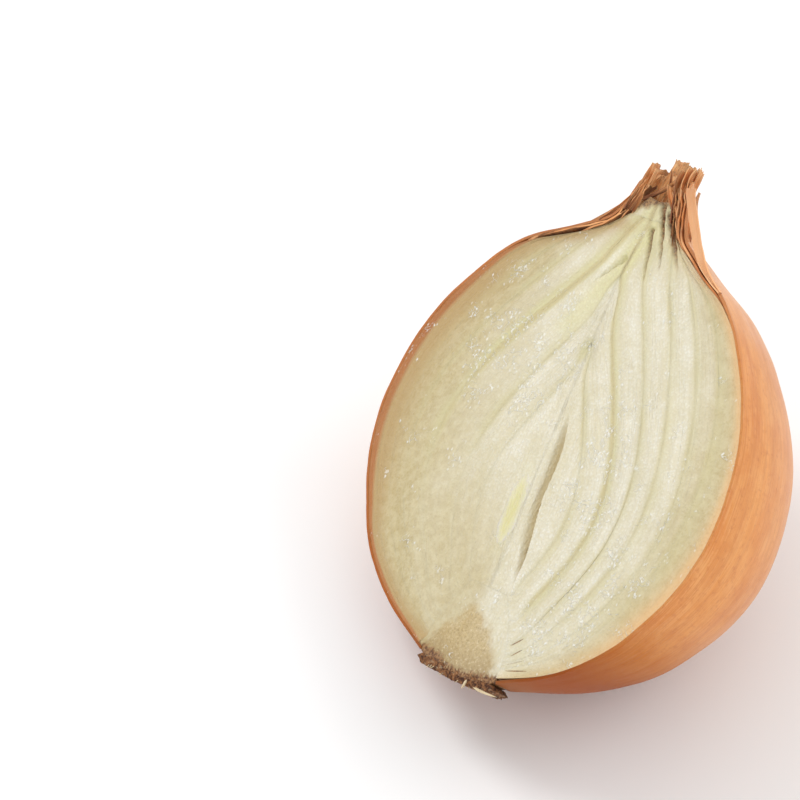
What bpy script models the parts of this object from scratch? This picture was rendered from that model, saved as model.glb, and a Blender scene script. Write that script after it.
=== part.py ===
"""Half of a yellow onion, cut from neck to root.

It lies on a small flat spot of its back, with the cut face up. Every piece is first turned upright round the
growth axis (Z, root end at 0, the cut face in the plane Y = 0, the body behind it) and in millimetres. grow() then
gives it the real bulb's lean, and lay_down() puts it in the part's frame in metres.
"""

import math
import random

import bmesh
import bpy
import numpy as np
from mathutils import Matrix, Vector

MM = 0.001

# Driving sizes of the bulb, in millimetres
RADIUS = 40.0
HEIGHT = 81.5
DEPTH_SHARE = 1.05  # depth behind the cut, as a share of the radius
SKIN = 0.6
GAP = 0.3
SKIN_GAP = 0.45  # between the dry skin and the flesh
SHEATH_TOP = 86.5

# The outline of the whole bulb: share of the height, share of the radius
OUTLINE = (
    (0.0, 0.235), (0.05, 0.468), (0.12, 0.679), (0.24, 0.876), (0.38, 0.993), (0.52, 1.0), (0.66, 0.925),
    (0.78, 0.77), (0.83, 0.68), (0.88, 0.54), (0.91, 0.405), (0.935, 0.305), (0.96, 0.215), (0.985, 0.18),
    (1.03, 0.17), (1.11, 0.163),
)
# How far the growth axis leans to one side: share of the height, millimetres
LEAN = ((0.0, 0.0), (0.25, -1.6), (0.5, -3.0), (0.75, -4.3), (0.95, -4.8), (1.03, -3.9), (1.11, -2.8))

# The surfaces between the fleshy scales, from the outermost inwards. share: of the radius at the widest. point: how
# much it narrows to a point. skew: how much wider it is to the left. foot and tip: (radius, height) of its two ends
SURFACES = (
    {"share": 0.891, "point": 0.0, "skew": -0.060, "foot": (9.0, 2.4), "tip": (3.9, 80.3)},
    {"share": 0.806, "point": 0.4, "skew": -0.068, "foot": (8.9, 3.6), "tip": (3.2, 81.8)},
    {"share": 0.695, "point": 0.86, "skew": -0.109, "foot": (8.7, 5.0), "tip": (2.3, 83.4)},
    {"share": 0.566, "point": 1.3, "skew": -0.107, "foot": (8.2, 7.0), "tip": (1.3, 80.0)},
    {"share": 0.391, "point": 1.5, "skew": 0.0, "foot": (6.8, 10.2), "tip": (0.0, 69.5)},
    {"share": 0.248, "point": 1.5, "skew": 0.0, "foot": (4.3, 13.8), "tip": (0.0, 57.3)},
)
SPINDLE_POWER = 0.715  # puts the widest place of the pointed inner scales low down
FLESH_FOOT = (9.0, 0.9)
FLESH_TIP = (4.6, 79.3)
FOOT_BLEND = 12
TIP_BLEND = 14
NECK_ROOM = 1.1  # the outermost scale stands back this far for the dry layers of the neck
NECK_ROOM_FROM = 63.0
NECK_ROOM_TO = 72.0
CHANNEL_RADIUS = 0.5  # the narrow way up through the neck that the leaves left
CHANNEL_TOP = 78.5
HEART_TIP = 54.6

# The cut edges of the scales stand a little higher and lower than each other, and each one is slightly crowned
CUT_STEPS = (-0.1, 0.15, -0.15, 0.2, -0.2, 0.15)
CUT_CROWN = 0.3

# The open slit beside the heart and the pocket of the young shoot: where they lie on the cut face
SLIT_TOP = Vector((-1.9, 0.0, 45.5))
SLIT_FOOT = Vector((3.4, 0.0, 14.6))
SLIT_WIDTH = 2.0
SLIT_DEPTH = 5.0
SHOOT_TOP = Vector((-5.0, 0.0, 37.5))
SHOOT_FOOT = Vector((-1.3, 0.0, 18.0))
SHOOT_WIDTH = 3.6
SHOOT_DEPTH = 2.6

# The short stem at the root end, and the bristles under it
PLATE_INSET = 0.4
PLATE_UNDER = ((8.5, -0.1), (7.0, -0.8), (0.0, -1.1))
ROOT_PAD = ((8.2, -1.0), (8.7, -1.5), (7.2, -2.2), (0.0, -2.4))
ROOT_COUNT = 64
ROOT_LENGTH = (1.6, 3.4)
ROOT_RADIUS = (0.42, 0.3)
ROOT_SHIFT = 0.8

# The dry neck: a collar and the torn leaf bases that stand out of it
COLLAR = ((4.3, 81.0), (5.1, 81.0), (5.1, 86.2), (4.2, 86.0))
BLADE = 0.7
BLADE_COUNT = 9

# How it lies: the growth axis points up from the table, and the half is rolled about it
AXIS_RISE = math.radians(31.9)
ROLL = math.radians(27.1)
FLAT_SPOT = 2.2  # how deep the skin is pressed flat where it lies

FLESH_ROWS = 14
CORE_ROWS = FLESH_ROWS - 2
FLESH_STEPS = 12
SKIN_ROWS = 30
SKIN_STEPS = 36


def curve_through(points):
    """A smooth curve through the points, as a function that takes one number or an array."""
    x, y = (np.array(values, float) for values in zip(*points))
    slope = np.gradient(y, x)

    def at(value):
        value = np.clip(value, x[0], x[-1])
        i = np.clip(np.searchsorted(x, value) - 1, 0, len(x) - 2)
        step = x[i + 1] - x[i]
        s = (value - x[i]) / step
        rise = (3 - 2 * s) * s * s
        bend = step * s * (1 - s) * ((1 - s) * slope[i] - s * slope[i + 1])
        return y[i] * (1 - rise) + y[i + 1] * rise + bend

    return at


outline_share = curve_through(OUTLINE)
lean_at = curve_through(LEAN)


def bulb_radius(height):
    return RADIUS * outline_share(height / HEIGHT)


def smooth_step(value, low, high):
    s = np.clip((value - low) / (high - low), 0.0, 1.0)
    return s * s * (3 - 2 * s)


def spread(count):
    """Shares from 0 to 1, closer together at both ends."""
    return (1 - np.cos(np.pi * np.linspace(0, 1, count))) / 2


def set_in(curve, distance):
    """The curve of (radius, height) points, moved inwards along its normals."""
    along = np.gradient(curve, axis=0)
    along /= np.linalg.norm(along, axis=1)[:, None]
    return curve + np.reshape(distance, (-1, 1)) * np.column_stack((-along[:, 1], along[:, 0]))


def skin_curve(rows, foot=0.0, top=SHEATH_TOP):
    heights = foot + (top - foot) * spread(rows + 1)
    return np.column_stack((bulb_radius(heights), heights))


def surface_curve(surface, rows):
    """The surface between two scales: the bulb's outline drawn in and narrowed to a point."""
    share = spread(rows + 1)
    size = surface["share"] * RADIUS
    point = surface["point"]

    def shape(s):
        return (1 - point) * outline_share(s) + point * np.sin(np.pi * s**SPINDLE_POWER)

    (foot_radius, foot), (tip_radius, tip) = surface["foot"], surface["tip"]
    radii = size * shape(share)
    radii += (foot_radius - size * shape(0.0)) * (1 - share) ** FOOT_BLEND
    radii += (tip_radius - size * shape(1.0)) * share**TIP_BLEND
    return np.column_stack((np.maximum(radii, 0.0), foot + (tip - foot) * share))


def flesh_curve(rows):
    """The outside of the outermost fleshy scale, under the skin and drawn in at the neck."""
    curve = skin_curve(rows, 0.0, FLESH_TIP[1])
    room = NECK_ROOM * smooth_step(curve[:, 1], NECK_ROOM_FROM, NECK_ROOM_TO)
    curve = set_in(curve, SKIN + SKIN_GAP + room)
    share = spread(rows + 1)
    curve += (1 - share[:, None]) ** (4 * FOOT_BLEND) * (np.array(FLESH_FOOT) - curve[0])
    curve += share[:, None] ** TIP_BLEND * (np.array(FLESH_TIP) - curve[-1])
    return curve


def clear_of(curve, distance):
    """Half a gap to one side of a surface that two scales share, and never past the axis."""
    moved = set_in(curve, distance)
    moved[:, 0] = np.maximum(moved[:, 0], 0.0)
    return moved


def face_out(bm):
    bmesh.ops.recalc_face_normals(bm, faces=bm.faces)
    if bm.calc_volume(signed=True) < 0:
        bmesh.ops.reverse_faces(bm, faces=bm.faces)


def turned(inner, outer, columns, steps, skews=(0.0, 0.0)):
    """A half shell: the strip between two curves, turned half way round the axis."""
    bm = bmesh.new()
    skew_layer = bm.verts.layers.float.new("skew")
    crown_layer = bm.verts.layers.float.new("crown")
    rows = len(outer) - 1
    bmesh.ops.create_grid(bm, x_segments=columns, y_segments=rows, size=1.0)
    for vert in bm.verts:
        across = (vert.co.x + 1) / 2
        row = round((vert.co.y + 1) / 2 * rows)
        radius, height = inner[row] * (1 - across) + outer[row] * across
        vert[skew_layer] = (skews[0] * (1 - across) + skews[1] * across) * math.sin(math.pi * row / rows)
        vert[crown_layer] = 1 - (2 * across - 1) ** 2
        vert.co = (radius, 0.0, height)
    bmesh.ops.spin(
        bm, geom=bm.verts[:] + bm.edges[:] + bm.faces[:], axis=(0, 0, 1), cent=(0, 0, 0), angle=math.pi, steps=steps
    )
    bmesh.ops.remove_doubles(bm, verts=bm.verts, dist=0.001)
    face_out(bm)
    return bm


def turned_profile(profile, steps):
    """A half turned body whose profile runs from the axis round to the axis again, or is a closed ring."""
    bm = bmesh.new()
    bm.verts.layers.float.new("skew")
    bm.verts.layers.float.new("crown")
    bm.faces.new([bm.verts.new((radius, 0.0, height)) for radius, height in profile])
    bmesh.ops.spin(
        bm, geom=bm.verts[:] + bm.edges[:] + bm.faces[:], axis=(0, 0, 1), cent=(0, 0, 0), angle=math.pi, steps=steps
    )
    bmesh.ops.remove_doubles(bm, verts=bm.verts, dist=0.001)
    face_out(bm)
    return bm


def grow(bm, cut_step=0.0, crown=0.0):
    """Leans the upright piece as the bulb leans, widens its scales to one side and shapes its cut edge."""
    skew_layer = bm.verts.layers.float["skew"]
    crown_layer = bm.verts.layers.float["crown"]
    for vert in bm.verts:
        radius = math.hypot(vert.co.x, vert.co.y)
        side = vert.co.x / radius if radius > 1e-6 else 0.0
        on_cut = abs(vert.co.y) < 1e-3
        wide = 1 + vert[skew_layer] * side
        vert.co.x = vert.co.x * wide + float(lean_at(vert.co.z / HEIGHT))
        vert.co.y = vert.co.y * wide * DEPTH_SHARE
        if on_cut:
            vert.co.y = -(cut_step + crown * vert[crown_layer])


def upright_to_table():
    """The rotation from the upright bulb to the lying half."""
    return (Matrix.Rotation(AXIS_RISE - math.pi / 2, 4, "X") @ Matrix.Rotation(-ROLL, 4, "Z")).to_3x3()


TURN = upright_to_table()
TURN_ROWS = np.array(TURN)


def skin_point(angle, height):
    """A point of the bulb's outer surface in the upright frame."""
    radius = bulb_radius(height)
    return np.array((
        lean_at(height / HEIGHT) + radius * np.cos(angle), DEPTH_SHARE * radius * np.sin(angle), height
    ))


def find_flat_spot():
    """The lowest point of the bulb's back as it lies."""
    angles, heights = np.meshgrid(np.linspace(0, np.pi, 181), np.linspace(0, HEIGHT, 164))
    points = TURN_ROWS @ skin_point(angles.ravel(), heights.ravel())
    return points[:, points[2].argmin()]


LOWEST = find_flat_spot()


def lay_down(bm):
    """Puts the grown piece on the table in metres, pressed flat where the skin meets it."""
    for vert in bm.verts:
        x = vert.co.x - float(lean_at(vert.co.z / HEIGHT))
        y = max(vert.co.y / DEPTH_SHARE, 0.0)
        share = min(math.hypot(x, y) / float(bulb_radius(vert.co.z)), 1.0)
        outside = TURN_ROWS[2] @ skin_point(math.atan2(y, x), vert.co.z) - LOWEST[2] - FLAT_SPOT
        point = TURN @ vert.co
        point -= Vector((LOWEST[0], LOWEST[1], LOWEST[2] + FLAT_SPOT))
        point.z += max(-outside, 0.0) * share**3
        vert.co = point * MM


def material(name, colour, roughness):
    made = bpy.data.materials.new(name)
    made.use_nodes = True
    shader = made.node_tree.nodes["Principled BSDF"]
    shader.inputs["Base Color"].default_value = (*colour, 1.0)
    shader.inputs["Roughness"].default_value = roughness
    shader.inputs["Metallic"].default_value = 0.0
    return made


def add_piece(name, bm, finish, collection):
    mesh = bpy.data.meshes.new(name)
    bm.to_mesh(mesh)
    bm.free()
    mesh.materials.append(finish)
    mesh.shade_smooth()
    mesh.set_sharp_from_angle(angle=math.radians(40))
    piece = bpy.data.objects.new(name, mesh)
    collection.objects.link(piece)
    return piece


def replace_mesh(piece, graph):
    """Applies the piece's modifiers."""
    mesh = bpy.data.meshes.new_from_object(piece.evaluated_get(graph))
    piece.modifiers.clear()
    piece.data = mesh


def keep_main_body(mesh):
    """Drops loose scraps and fills any hollow that the fusing sealed: both are surfaces apart from the main one."""
    bm = bmesh.new()
    bm.from_mesh(mesh)
    left = set(bm.verts)
    bodies = []
    while left:
        body = []
        reach = [left.pop()]
        while reach:
            vert = reach.pop()
            body.append(vert)
            near = {edge.other_vert(vert) for edge in vert.link_edges} & left
            left -= near
            reach.extend(near)
        bodies.append(body)
    bodies.sort(key=len)
    for body in bodies[:-1]:
        bmesh.ops.delete(bm, geom=body, context="VERTS")
    bm.to_mesh(mesh)
    bm.free()


def joined(piece, repeats):
    """Fuses the repeats in the collection to the piece they grow from."""
    union = piece.modifiers.new("fuse", "BOOLEAN")
    union.operation = "UNION"
    union.solver = "MANIFOLD"
    union.operand_type = "COLLECTION"
    union.collection = repeats
    replace_mesh(piece, bpy.context.evaluated_depsgraph_get())
    keep_main_body(piece.data)
    for repeat in list(repeats.objects):
        bpy.data.objects.remove(repeat)
    bpy.data.collections.remove(repeats)


def hollowed(piece, cutters):
    """Cuts the pockets out of a piece."""
    for cutter in cutters:
        cut = piece.modifiers.new("pocket", "BOOLEAN")
        cut.operation = "DIFFERENCE"
        cut.object = cutter
        cutter.hide_render = True
        cutter.display_type = "WIRE"
    replace_mesh(piece, bpy.context.evaluated_depsgraph_get())


def spindle(top, foot, width, depth, rings=10, sides=12):
    """A slim closed spindle between two points of the cut face, half of it behind the face."""
    bm = bmesh.new()
    bm.verts.layers.float.new("skew")
    bm.verts.layers.float.new("crown")
    bmesh.ops.create_uvsphere(bm, u_segments=sides, v_segments=rings, radius=1.0)
    along = (top - foot) / 2
    middle = (top + foot) / 2
    turn = Vector((0, 0, 1)).rotation_difference(along)
    for vert in bm.verts:
        round_part = Vector((vert.co.x * width / 2, vert.co.y * depth, vert.co.z * along.length))
        vert.co = middle + turn @ round_part
    return bm


def fleshy_scales(collection, finish):
    """The nested scales: each lies between two of the surfaces, half a gap clear of both."""
    curves = [flesh_curve(FLESH_ROWS)] + [surface_curve(s, FLESH_ROWS) for s in SURFACES[:4]]
    around_core = surface_curve(SURFACES[4], CORE_ROWS)
    outers = [curves[0]] + [clear_of(curve, GAP / 2) for curve in (*curves[1:], around_core)]
    inners = [clear_of(curve, -GAP / 2) for curve in (*curves[1:], around_core, surface_curve(SURFACES[5], CORE_ROWS))]
    channel = [(CHANNEL_RADIUS, around_core[-1, 1] + CHANNEL_RADIUS), (CHANNEL_RADIUS, CHANNEL_TOP)]
    inners[4] = np.vstack((inners[4], channel))
    skews = [0.0] + [s["skew"] for s in SURFACES]
    for i, (inner, outer) in enumerate(zip(inners, outers)):
        bm = turned(inner, outer, 2, FLESH_STEPS, (skews[i + 1], skews[i]))
        grow(bm, CUT_STEPS[i], CUT_CROWN)
        lay_down(bm)
        add_piece(f"scale_{i + 1}", bm, finish, collection)


def add_heart(collection, helpers, finish, shoot_finish):
    """The innermost spindle with its open slit, and the young shoot in its own pocket."""
    surface = {**SURFACES[-1], "tip": (0.0, HEART_TIP)}
    outer = clear_of(surface_curve(surface, CORE_ROWS), GAP / 2)
    middle = outer.copy()
    middle[:, 0] = 0.0
    middle[0, 1] += 1.2
    bm = turned(middle, outer, 1, FLESH_STEPS)
    grow(bm)
    heart = add_piece("heart", bm, finish, collection)
    cutters = [
        add_piece("slit_cutter", spindle(SLIT_TOP, SLIT_FOOT, SLIT_WIDTH, SLIT_DEPTH), finish, helpers),
        add_piece("pocket_cutter", spindle(SHOOT_TOP, SHOOT_FOOT, SHOOT_WIDTH, SHOOT_DEPTH), finish, helpers),
    ]
    hollowed(heart, cutters)
    bm = bmesh.new()
    bm.from_mesh(heart.data)
    lay_down(bm)
    bm.to_mesh(heart.data)
    bm.free()
    bm = spindle(SHOOT_TOP, SHOOT_FOOT, SHOOT_WIDTH - 2 * GAP, SHOOT_DEPTH - GAP)
    for vert in bm.verts:
        vert.co.y = max(vert.co.y, -0.2)
    lay_down(bm)
    add_piece("shoot", bm, shoot_finish, collection)


def add_plate(collection, finish):
    """The hard dome that all the scales grow from."""
    feet = [FLESH_FOOT] + [s["foot"] for s in SURFACES]
    dome = set_in(np.array(feet), PLATE_INSET)[::-1]
    profile = [(0.0, dome[0][1] + 0.9), *dome, *PLATE_UNDER]
    bm = turned_profile(profile, FLESH_STEPS)
    grow(bm)
    lay_down(bm)
    add_piece("basal_plate", bm, finish, collection)


def add_roots(collection, helpers, finish):
    """Dry bristles that stand out of a thin pad under the plate."""
    bm = turned_profile([(0.0, ROOT_PAD[0][1] - 0.4), *ROOT_PAD], FLESH_STEPS)
    grow(bm)
    lay_down(bm)
    pad = add_piece("roots", bm, finish, collection)
    draw = random.Random(7)
    bristles = bpy.data.collections.new("bristles")
    helpers.children.link(bristles)
    for _ in range(ROOT_COUNT):
        angle = math.pi * draw.uniform(0.04, 0.96)
        out = math.sqrt(draw.uniform(0.03, 1.0))
        length = draw.uniform(*ROOT_LENGTH)
        bm = bmesh.new()
        bm.verts.layers.float.new("skew")
        bm.verts.layers.float.new("crown")
        bmesh.ops.create_cone(
            bm, cap_ends=True, segments=3, radius1=ROOT_RADIUS[0], radius2=ROOT_RADIUS[1], depth=length
        )
        away = Vector((math.cos(angle), math.sin(angle), 0.0))
        lie = Vector((draw.uniform(-0.4, 0.4), draw.uniform(-0.3, 0.3), -1.0)) + away * out * 1.1
        turn = Vector((0, 0, 1)).rotation_difference(lie)
        base = away * (1.0 + 6.6 * out) + Vector((0.0, 0.2, -1.6))
        for vert in bm.verts:
            vert.co.z += length / 2
            vert.co = base + turn @ vert.co
            vert.co.x += ROOT_SHIFT * smooth_step(-vert.co.z, 1.6, 3.0)
            vert.co.y = max(vert.co.y, 0.0)
        lay_down(bm)
        add_piece("bristle", bm, finish, bristles)
    joined(pad, bristles)


def add_skin(collection, finish):
    """The papery outer skin, from the root end to the torn sheath of the neck."""
    outer = skin_curve(SKIN_ROWS)
    bm = turned(set_in(outer, SKIN), outer, 1, SKIN_STEPS)
    for vert in bm.verts:
        torn = smooth_step(vert.co.z, SHEATH_TOP - 5.0, SHEATH_TOP)
        angle = math.atan2(vert.co.y, vert.co.x)
        vert.co.z += torn * (1.5 * math.sin(7 * angle + 0.6) + 0.9 * math.sin(13 * angle) - 0.8)
    grow(bm)
    lay_down(bm)
    add_piece("dry_skin", bm, finish, collection)


def add_underskin(collection, finish):
    """The second dry layer, from the shoulder up into the neck."""
    outer = set_in(skin_curve(6, 73.0, SHEATH_TOP - 3.0), SKIN + GAP)
    bm = turned(set_in(outer, SKIN), outer, 1, FLESH_STEPS)
    grow(bm)
    lay_down(bm)
    add_piece("dry_underskin", bm, finish, collection)


def torn_blade(draw, angle, foot, tip, width, twist):
    """One torn leaf base: a cupped strip from (radius, height) foot to tip, with a ragged end."""
    bm = bmesh.new()
    bm.verts.layers.float.new("skew")
    bm.verts.layers.float.new("crown")
    bmesh.ops.create_grid(bm, x_segments=2, y_segments=3, size=1.0)
    ragged = {-1: draw.uniform(-1.2, 0.2), 0: draw.uniform(-0.2, 0.8), 1: draw.uniform(-1.2, 0.2)}
    for vert in bm.verts:
        across, along = vert.co.x, (vert.co.y + 1) / 2
        radius = foot[0] + (tip[0] - foot[0]) * along * along - 0.35 * across * across
        height = foot[1] + (tip[1] - foot[1]) * along + ragged[round(across)] * along**3
        turn = angle + across * width * (1 - 0.25 * along) / foot[0] / 2 + twist * along
        vert.co = (radius * math.cos(turn), radius * math.sin(turn), height)
    bmesh.ops.solidify(bm, geom=bm.faces[:], thickness=BLADE)
    face_out(bm)
    return bm


def add_neck(collection, helpers, finish):
    """The collar of dry layers and the torn leaf bases fused to it."""
    bm = turned_profile(COLLAR, FLESH_STEPS)
    grow(bm)
    lay_down(bm)
    collar = add_piece("dry_neck", bm, finish, collection)
    draw = random.Random(11)
    blades = bpy.data.collections.new("blades")
    helpers.children.link(blades)
    for ring, (foot_radius, foot, tip_radius, tip, width) in enumerate((
        (4.8, 83.9, 5.6, 90.2, 3.8), (4.7, 84.1, 3.6, 91.0, 3.0), (4.6, 84.8, 1.8, 89.2, 2.4)
    )):
        count = BLADE_COUNT - 2 * ring
        edge = width / foot_radius / 2 + 0.3
        for i in range(count):
            angle = edge + (math.pi - 2 * edge) * (i + draw.uniform(-0.2, 0.2)) / (count - 1)
            height = tip + draw.uniform(-2.4, 0.6)
            bm = torn_blade(
                draw, angle, (foot_radius, foot), (tip_radius + draw.uniform(-0.5, 0.5), height), width,
                draw.uniform(-0.2, 0.2)
            )
            grow(bm)
            lay_down(bm)
            add_piece("blade", bm, finish, blades)
    joined(collar, blades)


def main():
    for old in list(bpy.data.objects):
        bpy.data.objects.remove(old)
    onion = bpy.data.collections.new("onion_half")
    helpers = bpy.data.collections.new("cutters")
    bpy.context.scene.collection.children.link(onion)
    bpy.context.scene.collection.children.link(helpers)
    skin = material("dry_skin", (0.72, 0.33, 0.13), 0.42)
    dry = material("dry_leaf", (0.55, 0.26, 0.10), 0.7)
    flesh = material("flesh", (0.80, 0.76, 0.58), 0.3)
    shoot = material("young_shoot", (0.78, 0.78, 0.36), 0.35)
    plate = material("plate", (0.58, 0.45, 0.24), 0.6)
    root = material("root", (0.12, 0.05, 0.02), 0.85)
    add_skin(onion, skin)
    add_underskin(onion, dry)
    fleshy_scales(onion, flesh)
    add_heart(onion, helpers, flesh, shoot)
    add_plate(onion, plate)
    add_roots(onion, helpers, root)
    add_neck(onion, helpers, dry)


main()
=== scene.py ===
"""The looks of half a yellow onion, cut from neck to root and lying on its back.

Every piece is first turned upright round the growth axis, in millimetres: Z runs from the root end (0)
to the neck, the cut face is the plane Y = 0 and the body lies behind it. placed() then gives it the
bulb's lean and puts it in the part's frame in metres. A point of the cut face is (x, height).
"""

import math
import random

import bmesh
import bpy
import numpy as np
from mathutils import Matrix, Vector, noise


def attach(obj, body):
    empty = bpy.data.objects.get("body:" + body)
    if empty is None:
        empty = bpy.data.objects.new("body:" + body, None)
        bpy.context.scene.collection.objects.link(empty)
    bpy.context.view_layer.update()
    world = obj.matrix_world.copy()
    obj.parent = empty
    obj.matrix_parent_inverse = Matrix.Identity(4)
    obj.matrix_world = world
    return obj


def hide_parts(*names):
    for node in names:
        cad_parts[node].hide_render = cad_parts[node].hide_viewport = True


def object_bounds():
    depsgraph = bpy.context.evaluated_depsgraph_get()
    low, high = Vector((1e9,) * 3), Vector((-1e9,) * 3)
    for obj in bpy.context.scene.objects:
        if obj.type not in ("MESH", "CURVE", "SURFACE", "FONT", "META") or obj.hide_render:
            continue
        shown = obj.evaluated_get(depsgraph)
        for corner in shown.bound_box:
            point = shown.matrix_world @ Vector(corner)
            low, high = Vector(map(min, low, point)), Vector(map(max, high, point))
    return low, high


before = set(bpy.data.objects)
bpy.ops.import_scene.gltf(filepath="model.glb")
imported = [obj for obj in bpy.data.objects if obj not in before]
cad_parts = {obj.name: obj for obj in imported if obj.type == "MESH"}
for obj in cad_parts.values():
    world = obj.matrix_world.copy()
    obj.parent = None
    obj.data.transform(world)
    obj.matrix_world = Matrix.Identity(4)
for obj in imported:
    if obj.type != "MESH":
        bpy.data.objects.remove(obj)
CAD_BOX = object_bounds()

MM = 0.001

# The bulb, as the part's source has it
RADIUS = 40.0
HEIGHT = 81.5
DEPTH_SHARE = 1.05
SHEATH_TOP = 86.5
OUTLINE = (
    (0.0, 0.235), (0.05, 0.468), (0.12, 0.679), (0.24, 0.876), (0.38, 0.993), (0.52, 1.0), (0.66, 0.925),
    (0.78, 0.77), (0.83, 0.68), (0.88, 0.54), (0.91, 0.405), (0.935, 0.305), (0.96, 0.215), (0.985, 0.18),
    (1.03, 0.17), (1.11, 0.163),
)
LEAN = ((0.0, 0.0), (0.25, -1.6), (0.5, -3.0), (0.75, -4.3), (0.95, -4.8), (1.03, -3.9), (1.11, -2.8))
# The surfaces between two scales, from the outermost inwards
SURFACES = (
    {"share": 0.891, "point": 0.0, "skew": -0.060, "foot": (9.0, 2.4), "tip": (3.9, 80.3)},
    {"share": 0.806, "point": 0.4, "skew": -0.068, "foot": (8.9, 3.6), "tip": (3.2, 81.8)},
    {"share": 0.695, "point": 0.86, "skew": -0.109, "foot": (8.7, 5.0), "tip": (2.3, 83.4)},
    {"share": 0.566, "point": 1.3, "skew": -0.107, "foot": (8.2, 7.0), "tip": (1.3, 80.0)},
    {"share": 0.391, "point": 1.5, "skew": 0.0, "foot": (6.8, 10.2), "tip": (0.0, 69.5)},
    {"share": 0.248, "point": 1.5, "skew": 0.0, "foot": (4.3, 13.8), "tip": (0.0, 57.3)},
)
SPINDLE_POWER = 0.715
FLESH_FOOT = (9.0, 0.9)
FLESH_TIP = (4.6, 79.3)
FOOT_BLEND = 12
TIP_BLEND = 14
AXIS_RISE = math.radians(31.9)
ROLL = math.radians(27.1)
FLAT_SPOT = 2.2

# How far the right side of the neck stands over: (height, millimetres)
NECK_SWAY = (
    (64.0, 0.0), (70.0, 0.3), (74.0, 1.3), (77.0, 1.8), (80.0, 1.5), (83.0, 0.1), (86.5, -2.2), (91.0, -3.2),
)

# Sizes of the dressed pieces, in millimetres
SKIN = 0.5
FLESH_CLEAR = 0.005  # between the skin and the flesh, and between two scales
NECK_ROOM = 1.3  # the outermost scale stands back this far for the dry layers of the neck
NECK_ROOM_FROM, NECK_ROOM_TO = 67.0, 77.0
NECK_ROOM_RIGHT = (74.0, 80.0)  # on the right it only does so further up
# The outermost scale's foot stands this far from the skin on the right, and touches it on the left
FOOT_GAP = 1.3
SCALE_TIPS = {3: ((0.0, 79.62), (0.0, 83.0)), 4: ((0.0, 79.6),)}  # these close at the top: (radius, height)

# How fine the meshes are
FACE_COLUMNS, FACE_ROWS, FLESH_STEPS = 22, 260, 24
HEART_COLUMNS = 56
SKIN_ROWS, SKIN_STEPS = 200, 110
STEM_ROWS = 150
PAD_ROWS = 90
CRISP_CORNER = math.radians(50)

# Each dry layer of the neck: inset, foot, top, thickness, seed, and the height it shows from, left and right
NECK_LAYERS = (
    (0.62, 58.0, 84.5, 0.32, 31, 69.5, 70.5), (1.25, 70.0, 85.5, 0.3, 41, 74.5, 77.0),
    (2.0, 75.5, 86.0, 0.3, 51, 77.5, 79.0), (2.9, 78.5, 85.5, 0.28, 61, 79.0, 80.5),
)
# The smooth fold of the sheath that stands open on the right: its foot, bend and tip on the cut face
SHEATH_FOLD = ((17.0, 71.8), (5.0, 76.8), (1.7, 86.6))

# How strongly each surface between two scales is marked on the cut face: left and right of the axis
LINE_MARKS = ((0.45, 0.8), (0.7, 0.85), (0.7, 0.9), (1.5, 0.9), (0.7, 1.6), (0.4, 0.8))
LEFT_SHOWN = 0.4  # the lines on the left are coloured this much more, without being deeper
LINE_WIDTH = 0.6
INNER_TINT, OUTER_TINT = 1.9, 0.8  # how wide the tint is at a scale's inner edge and at its outer edge
GROOVE_WIDTH, GROOVE_DEPTH = 0.8, 0.045
CROWN = 0.06  # how far the middle of a scale's cut edge stands up
HEART = len(SURFACES)  # its number, counted from the outermost scale, which is 0
NO_LINE = 9.0  # stands for the distance to an inner edge where there is none

# The open slit beside the heart: (height, x) of its two lips
SLIT_LEFT = (
    (14.4, 3.3), (17.6, 2.5), (20.5, 1.8), (23.2, 0.6), (26.7, -0.2), (31.0, -1.0), (36.2, -1.6),
    (45.4, -2.1),
)
SLIT_RIGHT = (
    (14.4, 3.4), (20.7, 3.1), (24.1, 2.3), (30.3, 0.9), (35.4, 0.6), (39.3, 0.1), (42.5, -0.8), (45.4, -1.8),
)
SLIT_DEPTH = 2.3
SHOOT_TOP = Vector((-4.7, 0.0, 34.2))
SHOOT_FOOT = Vector((-3.4, 0.0, 19.8))
SHOOT_WIDTH = 4.7
SHOOT_DEPTH = 3.4
# Fine slits in the cut face: both ends, the half width and how brown it is
FINE_SLITS = (
    ((-3.4, 29.6), (-1.7, 23.0), 0.16, 0.5), ((-2.6, 21.4), (-1.3, 17.2), 0.13, 0.4),
    ((-0.7, 20.4), (-0.2, 17.8), 0.1, 0.3), ((-3.3, 47.0), (-2.3, 42.6), 0.16, 0.35),
    ((-4.6, 56.5), (-3.4, 53.4), 0.2, 0.15), ((8.8, 6.6), (10.9, 8.4), 0.15, 0.9),
    ((9.8, 5.1), (11.7, 6.7), 0.13, 0.8), ((9.8, 3.6), (12.7, 5.1), 0.13, 0.45),
    ((10.2, 2.6), (14.2, 3.9), 0.14, 0.9), ((-12.7, 5.3), (-11.4, 4.2), 0.12, 0.35),
    ((-12.3, 2.8), (-10.6, 2.4), 0.1, 0.3),
)
# Where leaf bases have dried out between the scales: both ends, the half width at the top and how brown it is
DRY_GROOVES = (
    ((-3.0, 78.2), (1.0, 69.1), 0.5, 0.75), ((-2.8, 82.4), (4.4, 70.0), 0.5, 0.95),
    ((-0.6, 81.4), (8.4, 71.4), 0.75, 1.0), ((5.0, 77.6), (12.6, 72.9), 0.35, 0.9),
    ((-8.6, 80.4), (-19.5, 73.6), 0.3, 0.45), ((-5.6, 72.4), (-9.8, 66.6), 0.4, 0.12),
)
SLIT_CUT, GROOVE_CUT = 0.05, 0.9  # how deep the fine slits and the dry grooves are
# Where the cut is wettest: the middle of each patch and its reach
WET_PATCHES = (
    (-13.0, 52.0, 12.0), (-24.5, 50.0, 6.0), (11.5, 34.0, 7.5), (9.0, 44.0, 6.0), (27.0, 20.0, 8.0),
    (17.0, 16.0, 7.0),
)
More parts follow.
